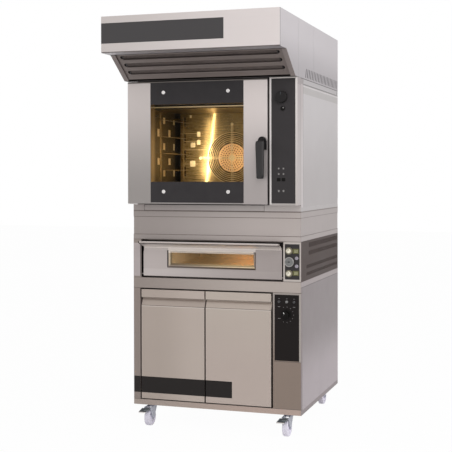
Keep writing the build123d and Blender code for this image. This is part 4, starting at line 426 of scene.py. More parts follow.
POST_REAR = casing_low.y + 0.045
# The casing is painted darker towards the bottom. Near the top of its side lie bands of painted highlight
# and painted shade, the hood casts a painted shadow on the top of the front post, and the inside of the door
# opening is painted near-black as shade.
brushed_steel("casing_steel", ((192, 187, 188), (174, 168, 168)), ("z", 1.9, 1.36), zones=[
    ((178, 173, 172), {"z": (1.912, 1.95), **SIDE}),
    ((200, 195, 195), {"z": (1.95, 1.9585), **SIDE}),
    ((160, 154, 154), {"z": (1.9585, 1.9655), **SIDE}),
    ((178, 173, 174), {"z": (1.966, 1.9955), **SIDE}),
    ((184, 174, 174), {"y": (-0.26, POST_REAR), **SIDE}, (196, 188, 188), ("z", 1.96, 1.6)),
    ((158, 149, 149), {"y": (-0.26, POST_REAR), "z": (1.962, 2.0), **SIDE}),
    joint("y", POST_REAR, cool_joint, **SIDE),
    joint("z", 1.965, (122, 117, 117), **SIDE, y=(POST_REAR, 0.66)),
    joint("z", 1.9945, dark_joint, **SIDE),
    ((60, 56, 56), {"y": (POST_REAR - 0.003, POST_REAR + 0.005), "z": (1.969, 1.99)}),
    ((84, 80, 80), {"y": (0.628, 0.64), "z": (1.967, 1.988), **SIDE}),
    ((48, 45, 44), {"x": (-0.5, 0.5), "y": (-0.26, -0.2425), "z": (1.29, 2.0)})])
# The door is painted darker towards the bottom and lighter on its right stile. Its edges are painted dark as
# shade, the inner frame seen through the glass is painted in the gold of lamp light, and lit adds a painted
# glow there.
brushed_steel("oven_door_steel", ((206, 197, 194), (153, 147, 144)), ("z", 1.98, 1.34), zones=[
    ((225, 215, 212), {"x": (0.19, 0.334)}, (171, 163, 161), ("z", 1.98, 1.36)),
    ((112, 105, 101), {"z": (1.984, 1.9915), "y": (-0.325, -0.3185)}),
    ((66, 60, 58), {"y": (-0.3185, -0.24), "x": (-0.5, 0.3325)}),
    ((120, 98, 62), {"y": (-0.3115, -0.2515), "x": (-0.3645, 0.1965), "z": (1.306, 1.983)}),
    ((176, 168, 164), {"y": (-0.2512, -0.249), "x": (-0.49, 0.32), "z": (1.31, 1.98)})],
    lit=({"y": (-0.3115, -0.26), "x": (-0.3645, 0.1965), "z": (1.306, 1.983)}, (16, 12, 7), (84, 66, 38),
         ("z", 1.8, 1.6)))
# The hood casts a painted shadow on the top of the column's side. The front is painted darker towards the
# bottom, its borders get painted highlights, and its edge by the door is painted dark as shade in the gap.
brushed_steel("column_steel", ((174, 164, 164), (184, 175, 173)), ("z", 1.98, 1.6), zones=[
    ((160, 150, 150), {**SIDE, "z": (1.955, 2.0)}),
    ((206, 198, 195), {"x": (0.34, 0.5005), **COLUMN_FACE}, (178, 171, 168), ("z", 1.98, 1.34)),
    ((226, 219, 216), {"x": (0.4932, 0.506), **COLUMN_FACE}, (200, 192, 188), ("z", 1.98, 1.3)),
    ((228, 222, 219), {"x": (0.35, 0.3572), "z": (1.298, 1.994), **COLUMN_FACE}),
    ((70, 66, 65), {"x": (0.34, 0.3455)}),
    ((236, 228, 224), {"z": (1.988, 1.9945), "x": (0.346, 0.5031), **COLUMN_FACE}),
    joint("y", -0.2475, cool_joint, **SIDE)])
# Base and tray are painted darker at their left, a painted shade.
brushed_steel("base_steel", ((160, 151, 148), (192, 184, 181)), ("x", LEFT, 0.4), "x", zones=with_side(
    (178, 172, 172), joint("z", 1.2558), joint("z", 1.2925, dark_joint)))
brushed_steel("tray_steel", ((162, 153, 150), (188, 180, 177)), ("x", LEFT, 0.4), "x",
              zones=[joint("z", 1.2905, dark_joint), joint("z", 1.2568)])
print("sheets so far:", len(looks))

# %% [markdown]
# Below it come the spacer, the deck oven and the proving cabinet. The dark band near the foot of the
# cabinet's doors is print on the same sheet, so it is an area of the finish rather than a new piece.

# %% Sheets of the lower modules
spacer_joints = [joint("z", height) for height in (1.118, 1.22, 1.2525)]
# The spacer is painted darker at its left, a painted shade.
brushed_steel("spacer_steel", ((155, 146, 142), (184, 174, 170)), ("x", LEFT, 0.3), "x",
              zones=with_side((164, 154, 152), *spacer_joints))
# The column's front border gets a painted highlight, and painted shade darkens the gap by the door and the
# inside of the door opening.
brushed_steel("deck_steel", ((146, 135, 129), (168, 158, 153)), ("x", LEFT, 0.4), zones=with_side(
    (141, 130, 128), joint("z", 1.0885), joint("z", 0.8665),
    ((166, 156, 154), {**SIDE, "z": (1.06, 1.088)}),
    ((178, 168, 167), {"x": (-0.5031, -0.4585), "z": (0.874, 1.066), **FACE}),
    ((70, 62, 60), {"x": (-0.4635, -0.4595), "z": (0.874, 1.06), **FACE}),
    ((196, 187, 181), {"x": (0.4035, 0.5035), "z": (0.869, 1.087), **FACE}),
    ((40, 35, 33), {"y": (-0.2425, -0.19), "x": (-0.46, 0.403), "z": (0.87, 1.08)})))
BEZEL = {"y": (-0.2385, -0.2284)}
# Above the window the door is painted lighter, painted light where the handle's shadow falls. The dark
# corners at its left edge are a painted shadow in the gap. In the window's recess the left wall, a strip
# under the foot and the right edge are painted shade, the top and a right strip get painted highlights, and
# a left strip and the foot a painted warm lamp light. The door's inner side is painted dark as shade.
brushed_steel("deck_door_steel", ((186, 176, 173), (166, 156, 153)), ("x", LEFT, 0.36), "x", zones=[
    ((190, 181, 177), {"z": (1.0256, 1.06)}, (168, 158, 155), ("x", LEFT, 0.36)),
    ((216, 206, 199), {"z": (1.0256, 1.04), "x": (-0.293, 0.238)}),
    ((194, 185, 182), {"z": (0.874, 0.918)}, (170, 160, 157), ("x", LEFT, 0.36)),
    *(((34, 27, 24), {"x": (-0.459, right), "z": (foot, top)})
      for right, foot, top in ((-0.444, 1.019, 1.06), (-0.45, 1.002, 1.019), (-0.455, 0.97, 1.002))),
    ((34, 26, 22), {"x": (-0.2985, -0.2895), "z": (0.926, 1.0256)}),
    ((184, 170, 150), {"x": (-0.289, -0.2795), "z": (0.934, 1.013), **BEZEL}),
    ((236, 226, 216), {"x": (-0.289, 0.238), "z": (1.0125, 1.0255), **BEZEL}),
    ((166, 152, 140), {"x": (-0.289, 0.238), "z": (0.9345, 0.941), **BEZEL},
     (246, 226, 190), ("x", -0.26, 0.16)),
    ((116, 106, 100), {"x": (-0.295, 0.238), "z": (0.925, 0.9345)},
     (78, 64, 54), ("x", -0.28, 0.22)),
    ((170, 162, 156), {"x": (0.225, 0.232), "z": (0.94, 1.0255), **BEZEL}),
    ((96, 84, 76), {"x": (0.232, 0.238), "z": (0.926, 1.0255), **BEZEL}),
    ((44, 38, 36), {"y": (-0.2283, -0.19)})], rough=0.36)
# The handle's lip gets a painted highlight with a painted shadow line below it, its flange is painted
# lighter where it lies in shade, and its left end is painted dark as shade.
brushed_steel("deck_handle_steel", ((190, 180, 175), (198, 188, 183)), ("x", LEFT, 0.4), "x", zones=[
    ((206, 198, 194), {"z": (1.0785, 1.0805)}), ((62, 54, 50), {"z": (1.0662, 1.0712)}),
    ((192, 184, 180), {"z": (1.03, 1.0662)}, (236, 228, 222), ("z", 1.064, 1.05)),
    ((38, 31, 28), {"x": (-0.448, -0.4415)})])
DOOR_BAND = {"x": (-0.51, 0.1), "z": (0.196, 0.29), **FACE}
GRIP = (0.703, 0.749)
GRIP_LINE = 0.0022


def door_zones(recess):
    """The finger channel in its own tone: a painted shadow line at its top, a dark joint line at its foot
    with a painted highlight below it, and painted shade on the door's edges and back.
    """
    front = {"y": (-0.246, -0.2435)}
    return [
        (recess, {"z": GRIP, "y": (-0.2435, -0.22)}),
        ((70, 62, 57), {"z": (GRIP[1] - 0.001, GRIP[1] + GRIP_LINE), **front}),
        ((208, 198, 190), {"z": (GRIP[0] - 2 * GRIP_LINE, GRIP[0] - 0.0002), **front}),
        ((90, 80, 74), {"z": (GRIP[0] - 0.0001, GRIP[0] + GRIP_LINE)}),
        ((60, 54, 50), {"y": (-0.2425, -0.2205), "z": (0.16, 0.7)})]


# The left door is painted darker towards its left, the right door towards the bottom.
for side, tones, run, recess in (
        ("left", ((179, 166, 157), (191, 178, 169)), ("x", -0.36, -0.12), (176, 163, 154)),
        ("right", ((192, 180, 170), (190, 176, 168)), ("z", 0.8, 0.3), (186, 173, 163))):
    brushed_steel(side + "_door_steel", tones, run, zones=door_zones(recess),
                  prints=[((40, 36, 35), DOOR_BAND)], gloss=0.15)
LOW_FRONT = {"y": (-0.25, -0.2435)}
# The frame is painted darker at its left and its column front darker towards the bottom, with a painted
# highlight on the right border. The inside of the door opening is painted dark as shade.
brushed_steel("cabinet_frame_steel", ((148, 136, 130), (168, 158, 154)), ("x", -0.46, 0.3), zones=[
    ((140, 129, 130), SIDE), ((140, 129, 130), OTHER_SIDE),
    *(((162, 151, 151), {**side, "z": (0.832, 0.866)}) for side in (SIDE, OTHER_SIDE)),
    joint("z", 0.8345, (96, 88, 88), **SIDE),
    ((166, 157, 151), {"x": (0.342, 0.5031), "z": (0.15, 0.805), **LOW_FRONT}, (144, 129, 119),
     ("z", 0.76, 0.38)),
    ((176, 168, 162), {"x": (0.4935, 0.5035), "z": (0.42, 0.8), **LOW_FRONT}),
    ((154, 143, 137), {"x": (LEFT, 0.5035), "z": (0.805, 0.866), **LOW_FRONT}, (184, 173, 166),
     ("x", LEFT, 0.25)),
    ((170, 157, 149), {"x": (LEFT, 0.5035), "z": (0.12, 0.157), **LOW_FRONT}, (186, 166, 156),
     ("x", LEFT, 0.4)),
    joint("z", 0.805), joint("z", 0.157),
    ((44, 40, 38), {"y": (-0.2425, -0.2), "x": (-0.464, 0.342), "z": (0.158, 0.804)})],
    prints=[((46, 42, 41), {"x": (-0.51, -0.4635), "z": DOOR_BAND["z"], **FACE})], gloss=0.15)
brushed_steel("cabinet_panel_steel", ((133, 123, 124), (168, 157, 161)), ("z", 0.6, 0.27))
print("sheets so far:", len(looks))

# %% [markdown]
# The louvre and the vented side panels are painted brown-grey, and the ducting above is galvanised, with
# crystals the size of a thumb nail. Voronoi cells make good zinc crystals: each has its own tone.

# %% Powder paint and zinc
PEEL = 700.0
CRYSTALS = 90.0


def powder_paint(name, colour, rough=0.5, metal=0.15, gloss=0.5):
    finish, _, point = begin(name)
    peel = noise(finish, point, PEEL, 1.0)
    rub = noise(finish, point, 5.0, 5.0)
    tint = blend(finish, rub, shaded(colour, 0.92), shaded(colour, 1.12))
    finish.shade(Base_Color=tint, Roughness=rub * 0.15 + (rough - 0.07), Metallic=metal,
                 Specular_IOR_Level=gloss, Normal=bump(finish, peel, 0.00006))


def zinc(name, colour, rough=0.5, metal=0.5):
    finish, _, point = begin(name)
    small = squeezed(finish, point, CRYSTALS)
    crystal = finish.node("TexVoronoi", {}, {"Vector": small, "Scale": 1.0})
    haze = noise(finish, point, 14.0, 3.0)
    tint = blend(finish, crystal * 0.7 + haze * 0.3, shaded(colour, 0.86), shaded(colour, 1.1))
    finish.shade(Base_Color=tint, Roughness=haze * 0.15 + (rough - 0.07), Metallic=metal,
                 Normal=bump(finish, crystal, 0.00005))


powder_paint("louvre_paint", (122, 111, 107))
powder_paint("vent_paint", (74, 62, 59), metal=0.0, gloss=0.1)
zinc("galvanised", (168, 170, 172))
zinc("dark_zinc", (58, 54, 53), metal=0.2)
zinc("fork_zinc", (176, 177, 188), rough=0.4)
print("paint on louvre and vents, zinc on ducting and castors")

# %% [markdown]
# The control plates are dark and printed from behind, so they are smooth, with faint dust. Knobs, the door
# lever and the brake pedals are moulded plastic: duller, with fine pores. Every moulded finish is paler on
# its rounded edges, a painted highlight where an edge would catch the light. The Bevel node gives the normal
# of a rounded edge, and where that differs from the flat normal there is an edge to light. White
# surroundings would turn black plastic grey, so its specular level is low.

# %% Plates and moulded plastic
HIGHLIGHT_EDGE = 0.0012


def moulded(name, colour, rough, gloss=0.3, pores=1200.0, depth=0.00003):
    finish, _, point = begin(name)
    grain = noise(finish, point, pores, 1.0)
    haze = noise(finish, point, 14.0, 3.0)
    rounded = finish.node("Bevel", {"samples": 4}, {"Radius": HIGHLIGHT_EDGE})
    flat = finish.node("NewGeometry", out="Normal")
    turn = finish.node("VectorMath", {"operation": "DOT_PRODUCT"}, {0: rounded, 1: flat}, "Value")
    # Paler rounded edges: a painted highlight.
    painted_edge_highlight = fade(finish, 1 - turn, 0.02, 0.2) * 0.5
    tint = blend(finish, haze, shaded(colour, 0.92), shaded(colour, 1.1))
    tint = blend(finish, painted_edge_highlight, tint, shaded(colour, 1.8))
    finish.shade(Base_Color=tint, Roughness=haze * 0.12 + (rough - 0.06), Specular_IOR_Level=gloss,
                 Normal=bump(finish, grain, depth))


moulded("plate_black", (60, 57, 58), 0.5, 0.12, depth=0.00001)
moulded("lower_plate_black", (33, 29, 28), 0.5, 0.1, depth=0.00001)
moulded("wheel_white", (240, 236, 254), 0.45, pores=400.0)
PLASTICS = (
    # name, colour, roughness and, where it isn't the usual one, specular level
    ("lever_black", (48, 46, 46), 0.45), ("hook_black", (24, 23, 24), 0.45, 0.25),
    ("knob_black", (36, 34, 34), 0.42, 0.15), ("cabinet_knob_black", (16, 14, 12), 0.35, 0.12),
    ("seal_rubber", (38, 36, 36), 0.7, 0.2), ("gutter_black", (36, 32, 31), 0.8, 0.0),
    ("pedal_grey", (122, 126, 130), 0.45), ("needle_dark", (24, 22, 22), 0.35),
    ("mark_white", (214, 212, 210), 0.5), ("mark_grey", (138, 135, 133), 0.5),
    ("legend_green", (104, 102, 70), 0.5, 0.1), ("legend_cream", (196, 192, 158), 0.5),
    ("tread_grey", (72, 76, 80), 0.5))
for row in PLASTICS:
    moulded(*row)
print("plates and plastics ready")

# %% [markdown]
# The chambers are steel that years of baking have turned golden. Heat tint is strongest in patches, so a
# broad noise moves the colour between straw and brown, and the walls stay glossy enough to throw the lamp's
# light around.

# %% Baked steel
def baked_steel(name, straw, brown, rough=0.3, metal=0.8, zones=()):
    finish, wires, point = begin(name)
    patches = noise(finish, point, 7.0, 4.0)
    grain = noise(finish, point, (500.0, 500.0, 12.0))
    tint = blend(finish, patches, brown, straw)
    for shade, limits in zones:
        tint = blend(finish, zone(wires, limits), tint, shade)
    finish.shade(Base_Color=tint, Metallic=metal, Roughness=patches * 0.15 + grain * 0.08 + (rough - 0.12),
                 Normal=bump(finish, grain, 0.00004))


cavity_low, cavity_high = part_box("oven_cavity")
chamber_low, chamber_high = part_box("baking_chamber")
# Behind the baffle the cavity is painted near-black: a painted shade.
SHADE_BEHIND_BAFFLE = ((26, 20, 13), {"y": (0.175, 0.32)})
BAKED = (
    # name, straw, brown, roughness, metal
    ("chamber_steel", (188, 168, 136), (168, 148, 116), 0.6, 0.1),
    ("rack_steel", (150, 128, 88), (96, 80, 50), 0.3), ("fan_steel", (120, 92, 56), (70, 54, 32), 0.4),
    ("sheath", (96, 84, 66), (50, 42, 36), 0.5), ("bright_rack", (214, 208, 196), (186, 180, 170), 0.3),
    ("guard_gold", (226, 194, 136), (176, 146, 94), 0.35, 0.4),
    ("liner_steel", (92, 78, 48), (58, 48, 30), 0.4, 0.6),
    # The last row's gold is no chamber steel: it paints glints on the baffle and the lit wall behind the
    # liner.
    ("painted_glint_gold", (246, 222, 172), (226, 196, 140), 0.4, 0.2))
for row in BAKED:
    baked_steel(*row)
baked_steel("cavity_steel", (146, 124, 80), (92, 76, 44), 0.35, zones=[SHADE_BEHIND_BAFFLE])
brushed_steel("bright_steel", ((214, 210, 208),) * 2, ("z", 0.0, 1.0), "x", rough=0.25, metal=0.9)
print("cavity", [round(v, 3) for v in (*cavity_low, *cavity_high)])

# %% [markdown]
# The baffle in front of the fan is one node: a polished plate, wire rings, a perforated copper-toned disc
# in their middle and pairs of bright rods. The finish tells them apart by how far a point is from the fan's
# axis and by how far it stands in front of the plate.

# %% Fan baffle
FAN_AXIS = (-0.045, 1.565)
DISC_RADIUS = 0.0885
BAFFLE_FRONT = 0.1849
ROD_REAR = 0.18255
baffle, wires, point = begin("baffle_finish")
proud = wires["y"] < BAFFLE_FRONT
front = wires["y"] < ROD_REAR
disc = (off_axis(wires, FAN_AXIS) < DISC_RADIUS) * proud * (1 - front)
patches = noise(baffle, point, 7.0, 4.0)
grain = noise(baffle, point, (12.0, 500.0, 500.0))
polish = layers(baffle, drift(baffle, wires, (150, 124, 76), (112, 90, 50), ("z", 1.5, 1.8)),
                (patches * 0.6, (172, 142, 88)), (proud, (120, 98, 58)), (disc, (226, 178, 122)),
                (front, (206, 182, 136)))
baffle.shade(Base_Color=polish, Metallic=(1 - proud) * 0.7, Roughness=patches * 0.1 + grain * 0.08 + 0.19,
             Normal=bump(baffle, grain, 0.00003))
print("baffle front at", BAFFLE_FRONT)

# %% [markdown]
# The baking stones are cast from chamotte: open pores, a sandy grain and scorched patches where trays and
# loaves have stood.

# %% Baking stone
stone, wires, point = begin("stone")
pores = noise(stone, point, 260.0, 6.0)
scorch = noise(stone, point, 9.0, 4.0)
sandy = blend(stone, scorch, (172, 148, 112), (212, 188, 150))
stone.shade(Base_Color=sandy, Roughness=pores * 0.2 + 0.7, Normal=bump(stone, pores, 0.0004))
print("stone finish")

# %% [markdown]
# The oven door's outer pane is one sheet of glass with a dark print above and below the window. Alpha says
# how much of the pane hides what is behind it: the print is opaque and the window nearly clear. A thin
# bright line painted on the pane, where the inner pane's metal frame shows, is a painted highlight of the
# lamp-lit frame. The deck oven's panes have no print; a golden tint painted on them stands for the lamp-lit
# chamber behind, paler at both ends where that painted light is brighter, with a painted highlight along
# their foot.

# %% Window glass
CLEAR = (1.422, 1.861)
TOP_LINE = 1.8475
PRINT_EDGE = 0.0045


def window_glass(name, clear_z, clear_alpha, film, lined=None):
    """film starts with a tint, and each (tint, run) after it takes over along its run."""
    finish, wires, point = begin(name)
    window = zone(wires, {"z": clear_z})
    dust = noise(finish, point, 18.0, 4.0)
    ink = blend(finish, dust, (55, 52, 54), (63, 60, 61))
    tint = film[0]
    for later, run in film[1:]:
        tint = drift(finish, wires, tint, later, run)
    shade = blend(finish, window, ink, tint)
    clear = window * (1 - clear_alpha)
    if lined:
        line = zone(wires, {lined[0]: lined[1]})
        shade = blend(finish, line, shade, drift(finish, wires, *lined[2:]))
        clear = clear * (1 - line * 0.85)
    finish.shade(Base_Color=shade, Alpha=1 - clear, Roughness=dust * 0.05 + 0.04, Specular_IOR_Level=0.12)


# Both lines are painted highlights, and the deck pane's tint is painted lamp light.
top_line = ("z", (TOP_LINE - PRINT_EDGE, TOP_LINE), (150, 130, 92), (206, 180, 138), ("x", -0.36, 0.0))
foot_line = ("z", (0.94, 0.95), (140, 122, 98), (200, 172, 128), ("x", -0.26, 0.16))
PAINTED_CHAMBER_LIGHT = ((204, 176, 134), ((140, 112, 74), ("x", -0.3, -0.13)), ((224, 178, 122), ("x", -0.06, 0.2)))
window_glass("oven_glass", CLEAR, 0.06, ((40, 34, 26),), top_line)
window_glass("deck_glass", (0.0, 3.0), 0.28, PAINTED_CHAMBER_LIGHT, foot_line)
print("glass with a clear window from", CLEAR[0], "to", CLEAR[1])

# %% [markdown]
# The thermometer is a pressed steel ring around a grey face. A round mask on the distance from its middle
# keeps the ring bright.

# %% Thermometer
DIAL_AT = (0.437, 0.977)
DIAL_FACE = 0.0232
dial, wires, point = begin("dial_finish")
face = off_axis(wires, DIAL_AT) < DIAL_FACE
haze = noise(dial, point, 60.0, 3.0)
dial_tone = blend(dial, face, (176, 172, 170), blend(dial, haze, (112, 112, 112), (136, 136, 135)))
dial.shade(Base_Color=dial_tone, Metallic=(1 - face) * 0.8, Roughness=haze * 0.1 + 0.25)
print("dial face radius", DIAL_FACE)

# %% [markdown]
# Every signal lamp is the same kind of lens, but the finish picks its tint by place: the two on the deck
# oven are pinkish, and of the three on the cabinet only the middle one is pale.

# %% Signal lamps
lens, wires, point = begin("lens_finish")
rings = noise(lens, point, 300.0)
tint = layers(lens, (166, 158, 170), (wires["z"] < 0.8, (30, 27, 27)),
              (zone(wires, {"x": (0.41, 0.436), "z": (0.7, 0.8)}), (128, 126, 124)),
              (wires["z"] > 1.2, (236, 214, 168)), (rings * 0.3, (90, 86, 90)))
lens.shade(Base_Color=tint, Roughness=rings * 0.1 + 0.2, Coat_Weight=0.4)
print("three tints of lens")

# %% [markdown]
# A deck oven knob is a cream cap on a darker skirt. The distance from each knob's axis tells cap from skirt.

# %% Cream knobs
KNOB_AXES = ((0.4355, 1.039), (0.4355, 0.913))
CAP_RADIUS = 0.0128
cream, wires, point = begin("cream_finish")
cap = 0.0
for axis in KNOB_AXES:
    cap = (off_axis(wires, axis) < CAP_RADIUS) + cap
grime = noise(cream, point, 120.0, 3.0)
skirt = blend(cream, grime, (108, 100, 82), (142, 134, 112))
cream_tone = blend(cream, cap, skirt, blend(cream, grime, (238, 230, 208), (252, 246, 230)))
cream.shade(Base_Color=cream_tone, Roughness=grime * 0.2 + 0.25, Coat_Weight=0.2)
print("caps of radius", CAP_RADIUS)

# %% [markdown]
# Each node now gets its finish. The solids keep their shapes and places: only the material in their slot
# changes.

# %% Give every node its finish
DRESSED = {
    "hood_shell_steel": "hood_shell", "fascia_steel": "hood_fascia", "louvre_paint": "hood_louvre",
    "dark_zinc": "grease_filter", "galvanised": "hood_blower hood_fan duct_collar fan_motor proving_chamber",
    "casing_steel": "oven_casing", "column_steel": "oven_column", "base_steel": "oven_base",
    "tray_steel": "drip_tray", "oven_door_steel": "oven_door", "oven_glass": "oven_door_glass",
    "bright_steel": "glass_buttons hinge_plates water_pan", "hook_black": "oven_door_handle",
    "seal_rubber": "door_gasket", "plate_black": "oven_control_plate deck_control_plate",
    "knob_black": "oven_knob", "cabinet_knob_black": "power_button cabinet_knob",
    "cavity_steel": "oven_cavity", "baffle_finish": "fan_baffle", "fan_steel": "oven_fan",
    "rack_steel": "oven_racks", "sheath": "heating_elements", "spacer_steel": "spacer_case",
    "deck_steel": "deck_casing", "vent_paint": "deck_vent_panels", "deck_door_steel": "deck_door",
    "deck_handle_steel": "deck_door_handle", "deck_glass": "deck_door_glass",
    "cream_finish": "deck_upper_knob deck_lower_knob", "dial_finish": "deck_thermometer",
    "needle_dark": "thermometer_needle", "chamber_steel": "baking_chamber", "stone": "baking_stones",
    "lens_finish": "lamps", "cabinet_frame_steel": "cabinet_frame",
    "cabinet_panel_steel": "cabinet_panels", "left_door_steel": "left_door",
    "right_door_steel": "right_door", "lower_plate_black": "cabinet_control_plate",
    "bright_rack": "proving_racks", "fork_zinc": "castor_plates"}
finishes = {name: look for look, names in DRESSED.items() for name in names.split()}
for ending, look in (("_wheel", "wheel_white"), ("_fork", "fork_zinc"), ("_pedal", "pedal_grey")):
    finishes.update({name: look for name in nodes if name.endswith(ending)})
for name, look in finishes.items():
    nodes[name].material_slots[0].material = looks[look]
print("finished", len(finishes), "nodes; left over:", sorted(set(nodes) - set(finishes)))

# %% [markdown]
# The rest of the look comes from pieces that are too fine for the construction: printed marks, wire rings,
# a knitted filter pad, a moulded grip. rounded_outline() gives the corners of a rounded rectangle, or of a
# disc when the radius is half the width. loft() joins rings of points, tile() raises an outline into a flat
# prism that faces -Y, the front of the stack, and tiles() makes one piece of many.

# %% Mesh helpers
def rounded_outline(width, height, radius, steps=5):
    points = []
    for side_x, side_z, start in ((1, 1, 0), (-1, 1, 90), (-1, -1, 180), (1, -1, 270)):
        for step in range(steps + 1):
            angle = radians(start + 90 * step / steps)
            points.append((side_x * (width / 2 - radius) + radius * cos(angle),
                           side_z * (height / 2 - radius) + radius * sin(angle)))
    return points


def circle(radius, count):
    """Points of a circle about the origin."""
    return [(radius * cos(2 * pi * k / count), radius * sin(2 * pi * k / count)) for k in range(count)]


def loft(shape, rings):
    """Faces between rings of points, with the ends capped."""
    rows = [[shape.verts.new(point) for point in ring] for ring in rings]
    for low, high in zip(rows, rows[1:]):
        for i in range(len(low)):
            j = (i + 1) % len(low)
            shape.faces.new((low[i], low[j], high[j], high[i]))
    shape.faces.new(list(reversed(rows[0])))
    shape.faces.new(rows[-1])


def tile(shape, outline, x, z, front_y, thick, turned=0.0):
    """A flat prism: its outline is turned in the XZ plane and set at (x, z)."""
    c, s = cos(radians(turned)), sin(radians(turned))
    loft(shape, [[(x + u * c - v * s, y, z + u * s + v * c) for u, v in outline]
                 for y in (front_y, front_y + thick)])


def piece(name, shape, look, body="stack", bevel=0.0, smooth=0):
    """Turn a bmesh, or the rings of one loft, into an object with its finish that rides on a body."""
    if isinstance(shape, list):
        rings, shape = shape, bmesh.new()
        loft(shape, rings)
    bmesh.ops.recalc_face_normals(shape, faces=shape.faces)
    mesh = bpy.data.meshes.new(name)
    shape.to_mesh(mesh)
    shape.free()
    made = stand(name, mesh)
    mesh.materials.append(looks[look])
    if bevel:
        rounding = made.modifiers.new("rounding", "BEVEL")
        rounding.width = bevel
        rounding.segments = 2
        rounding.limit_method = "ANGLE"
    if smooth:
        softened = made.modifiers.new("softened", "SUBSURF")
        softened.levels = softened.render_levels = smooth
        mesh.polygons.foreach_set("use_smooth", [True] * len(mesh.polygons))
    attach(made, body)
    return made


def tiles(name, look, rows, body="stack", bevel=0.0):
    """A piece of several tiles: each row has an outline's numbers, then x, z, front, thickness and turn."""
    shape = bmesh.new()
    for outline, *place_and_turn in rows:
        tile(shape, rounded_outline(*outline), *place_and_turn)
    piece(name, shape, look, body, bevel)


print("a disc outline has", len(rounded_outline(0.02, 0.02, 0.01)), "points")

# %% [markdown]
# The oven's lever has a soft grip over a hard core. It is widest near its top, where the hand pulls. Rings
# of a rounded rectangle are lofted along it, and a subdivision surface rounds both ends.

# %% Lever grip
GRIP_ROUND = 0.009
GRIP_RINGS = (
    # height, middle x, width, front y, back y
    (1.438, 0.305, 0.036, -0.3725, -0.3535), (1.442, 0.305, 0.041, -0.375, -0.352),
    (1.5, 0.305, 0.044, -0.3765, -0.3515), (1.57, 0.3045, 0.046, -0.377, -0.3515),
    (1.62, 0.3035, 0.049, -0.377, -0.3515), (1.64, 0.304, 0.049, -0.376, -0.352),
    (1.647, 0.306, 0.043, -0.3735, -0.354))
rings = [[(middle + u, (front_y + back_y) / 2 + v, z)
          for u, v in rounded_outline(width, back_y - front_y, GRIP_ROUND, 3)]
         for z, middle, width, front_y, back_y in GRIP_RINGS]
piece("lever_grip", rings, "lever_black", "oven_door_handle", smooth=1)
print("grip", round(GRIP_RINGS[-1][0] - GRIP_RINGS[0][0], 3), "m long")

# %% [markdown]
# Behind the louvre sits a pad of knitted wire that catches grease. It lies in the slope's own plane, so its
# corners are worked out along the slope and inwards from it.

# %% Filter pad
PAD_WIDTH = 0.9
PAD_DEPTH = (0.013, 0.016)
PAD_ALONG = (0.014, 0.204)
knit, wires, point = begin("knitted_pad")
small = squeezed(knit, point, (260.0, 420.0, 420.0))
loops = knit.node("TexVoronoi", {"feature": "DISTANCE_TO_EDGE"}, {"Vector": small, "Scale": 1.0})
grease = noise(knit, point, 12.0, 3.0)
strand = fade(knit, loops, 0.04, 0.16)
pad_tone = layers(knit, (128, 115, 111), (strand, (80, 70, 67)), (grease * 0.5, (60, 52, 46)))
knit.shade(Base_Color=pad_tone, Roughness=grease * 0.2 + 0.55, Metallic=0.1,
           Normal=bump(knit, strand * -1.0, 0.0006))
rings = []
for reach in PAD_ALONG:
    ring = []
    for depth, x in ((0, -1), (0, 1), (1, 1), (1, -1)):
        at = SLOPE_TOP + slope_along * reach + slope_in * PAD_DEPTH[depth]
        ring.append((x * PAD_WIDTH / 2, at.y, at.z))
    rings.append(ring)
piece("filter_pad", rings, "knitted_pad", bevel=0.0008)
print("filter pad", PAD_WIDTH, "m wide")

# %% [markdown]
# Grease runs down the filters and has to be caught, so a gutter lies on the hood's floor behind their foot.
# It is folded from one sheet. Its section is an outline in the YZ plane, lofted from one end of the hood to
# the other.

# %% Grease gutter
GUTTER_X = (-0.4985, 0.4985)
FRONT_Y, BACK_Y = -0.343, -0.325
FLOOR_Z, LOW_Z, HIGH_Z = 1.9968, 2.003, 2.009
SHEET = 0.0008
gutter_section = (
    (FRONT_Y, LOW_Z), (FRONT_Y, FLOOR_Z), (BACK_Y, FLOOR_Z), (BACK_Y, HIGH_Z), (BACK_Y - SHEET, HIGH_Z),
    (BACK_Y - SHEET, FLOOR_Z + SHEET), (FRONT_Y + SHEET, FLOOR_Z + SHEET), (FRONT_Y + SHEET, LOW_Z))
rings = [[(x, y, z) for y, z in gutter_section] for x in GUTTER_X]
piece("grease_gutter", rings, "gutter_black", bevel=0.0002)
print("gutter", round(GUTTER_X[1] - GUTTER_X[0], 3), "m long")

# %% [markdown]
# The fan guard is welded from round wire. Rings are swept by hand: a small circle of points carried round a
# large one.

# %% Guard rings
RING_RADII = [0.088 + 0.067 * step / 6 for step in range(1, 7)]
RING_WIRE = 0.0026
RING_Y = 0.1808
AROUND, ACROSS = 64, 6
shape = bmesh.new()
for radius in RING_RADII:
    rows = []
    for i in range(AROUND):
        angle = 2 * pi * i / AROUND
        rows.append([shape.verts.new((FAN_AXIS[0] + (radius + out) * cos(angle), RING_Y + lift,
                                      FAN_AXIS[1] + (radius + out) * sin(angle)))
                     for out, lift in circle(RING_WIRE, ACROSS)])
    for row, after in zip(rows, rows[1:] + rows[:1]):
        for j in range(ACROSS):
            k = (j + 1) % ACROSS
            shape.faces.new((row[j], after[j], after[k], row[k]))
piece("guard_rings", shape, "guard_gold")
print(len(RING_RADII), "rings up to", round(RING_RADII[-1], 3), "m")

# %% [markdown]
# The cavity's left wall carries a liner sheet with punched windows, through which the fan blows hot air
# between the trays. It is a grid of quads with some left out, thickened by a Solidify modifier. Behind the
# windows lies a pale gold sheet that stands for the lit wall: a painted light. Bright gold tiles on the
# baffle are painted glints, where the chamber's light is reflected.

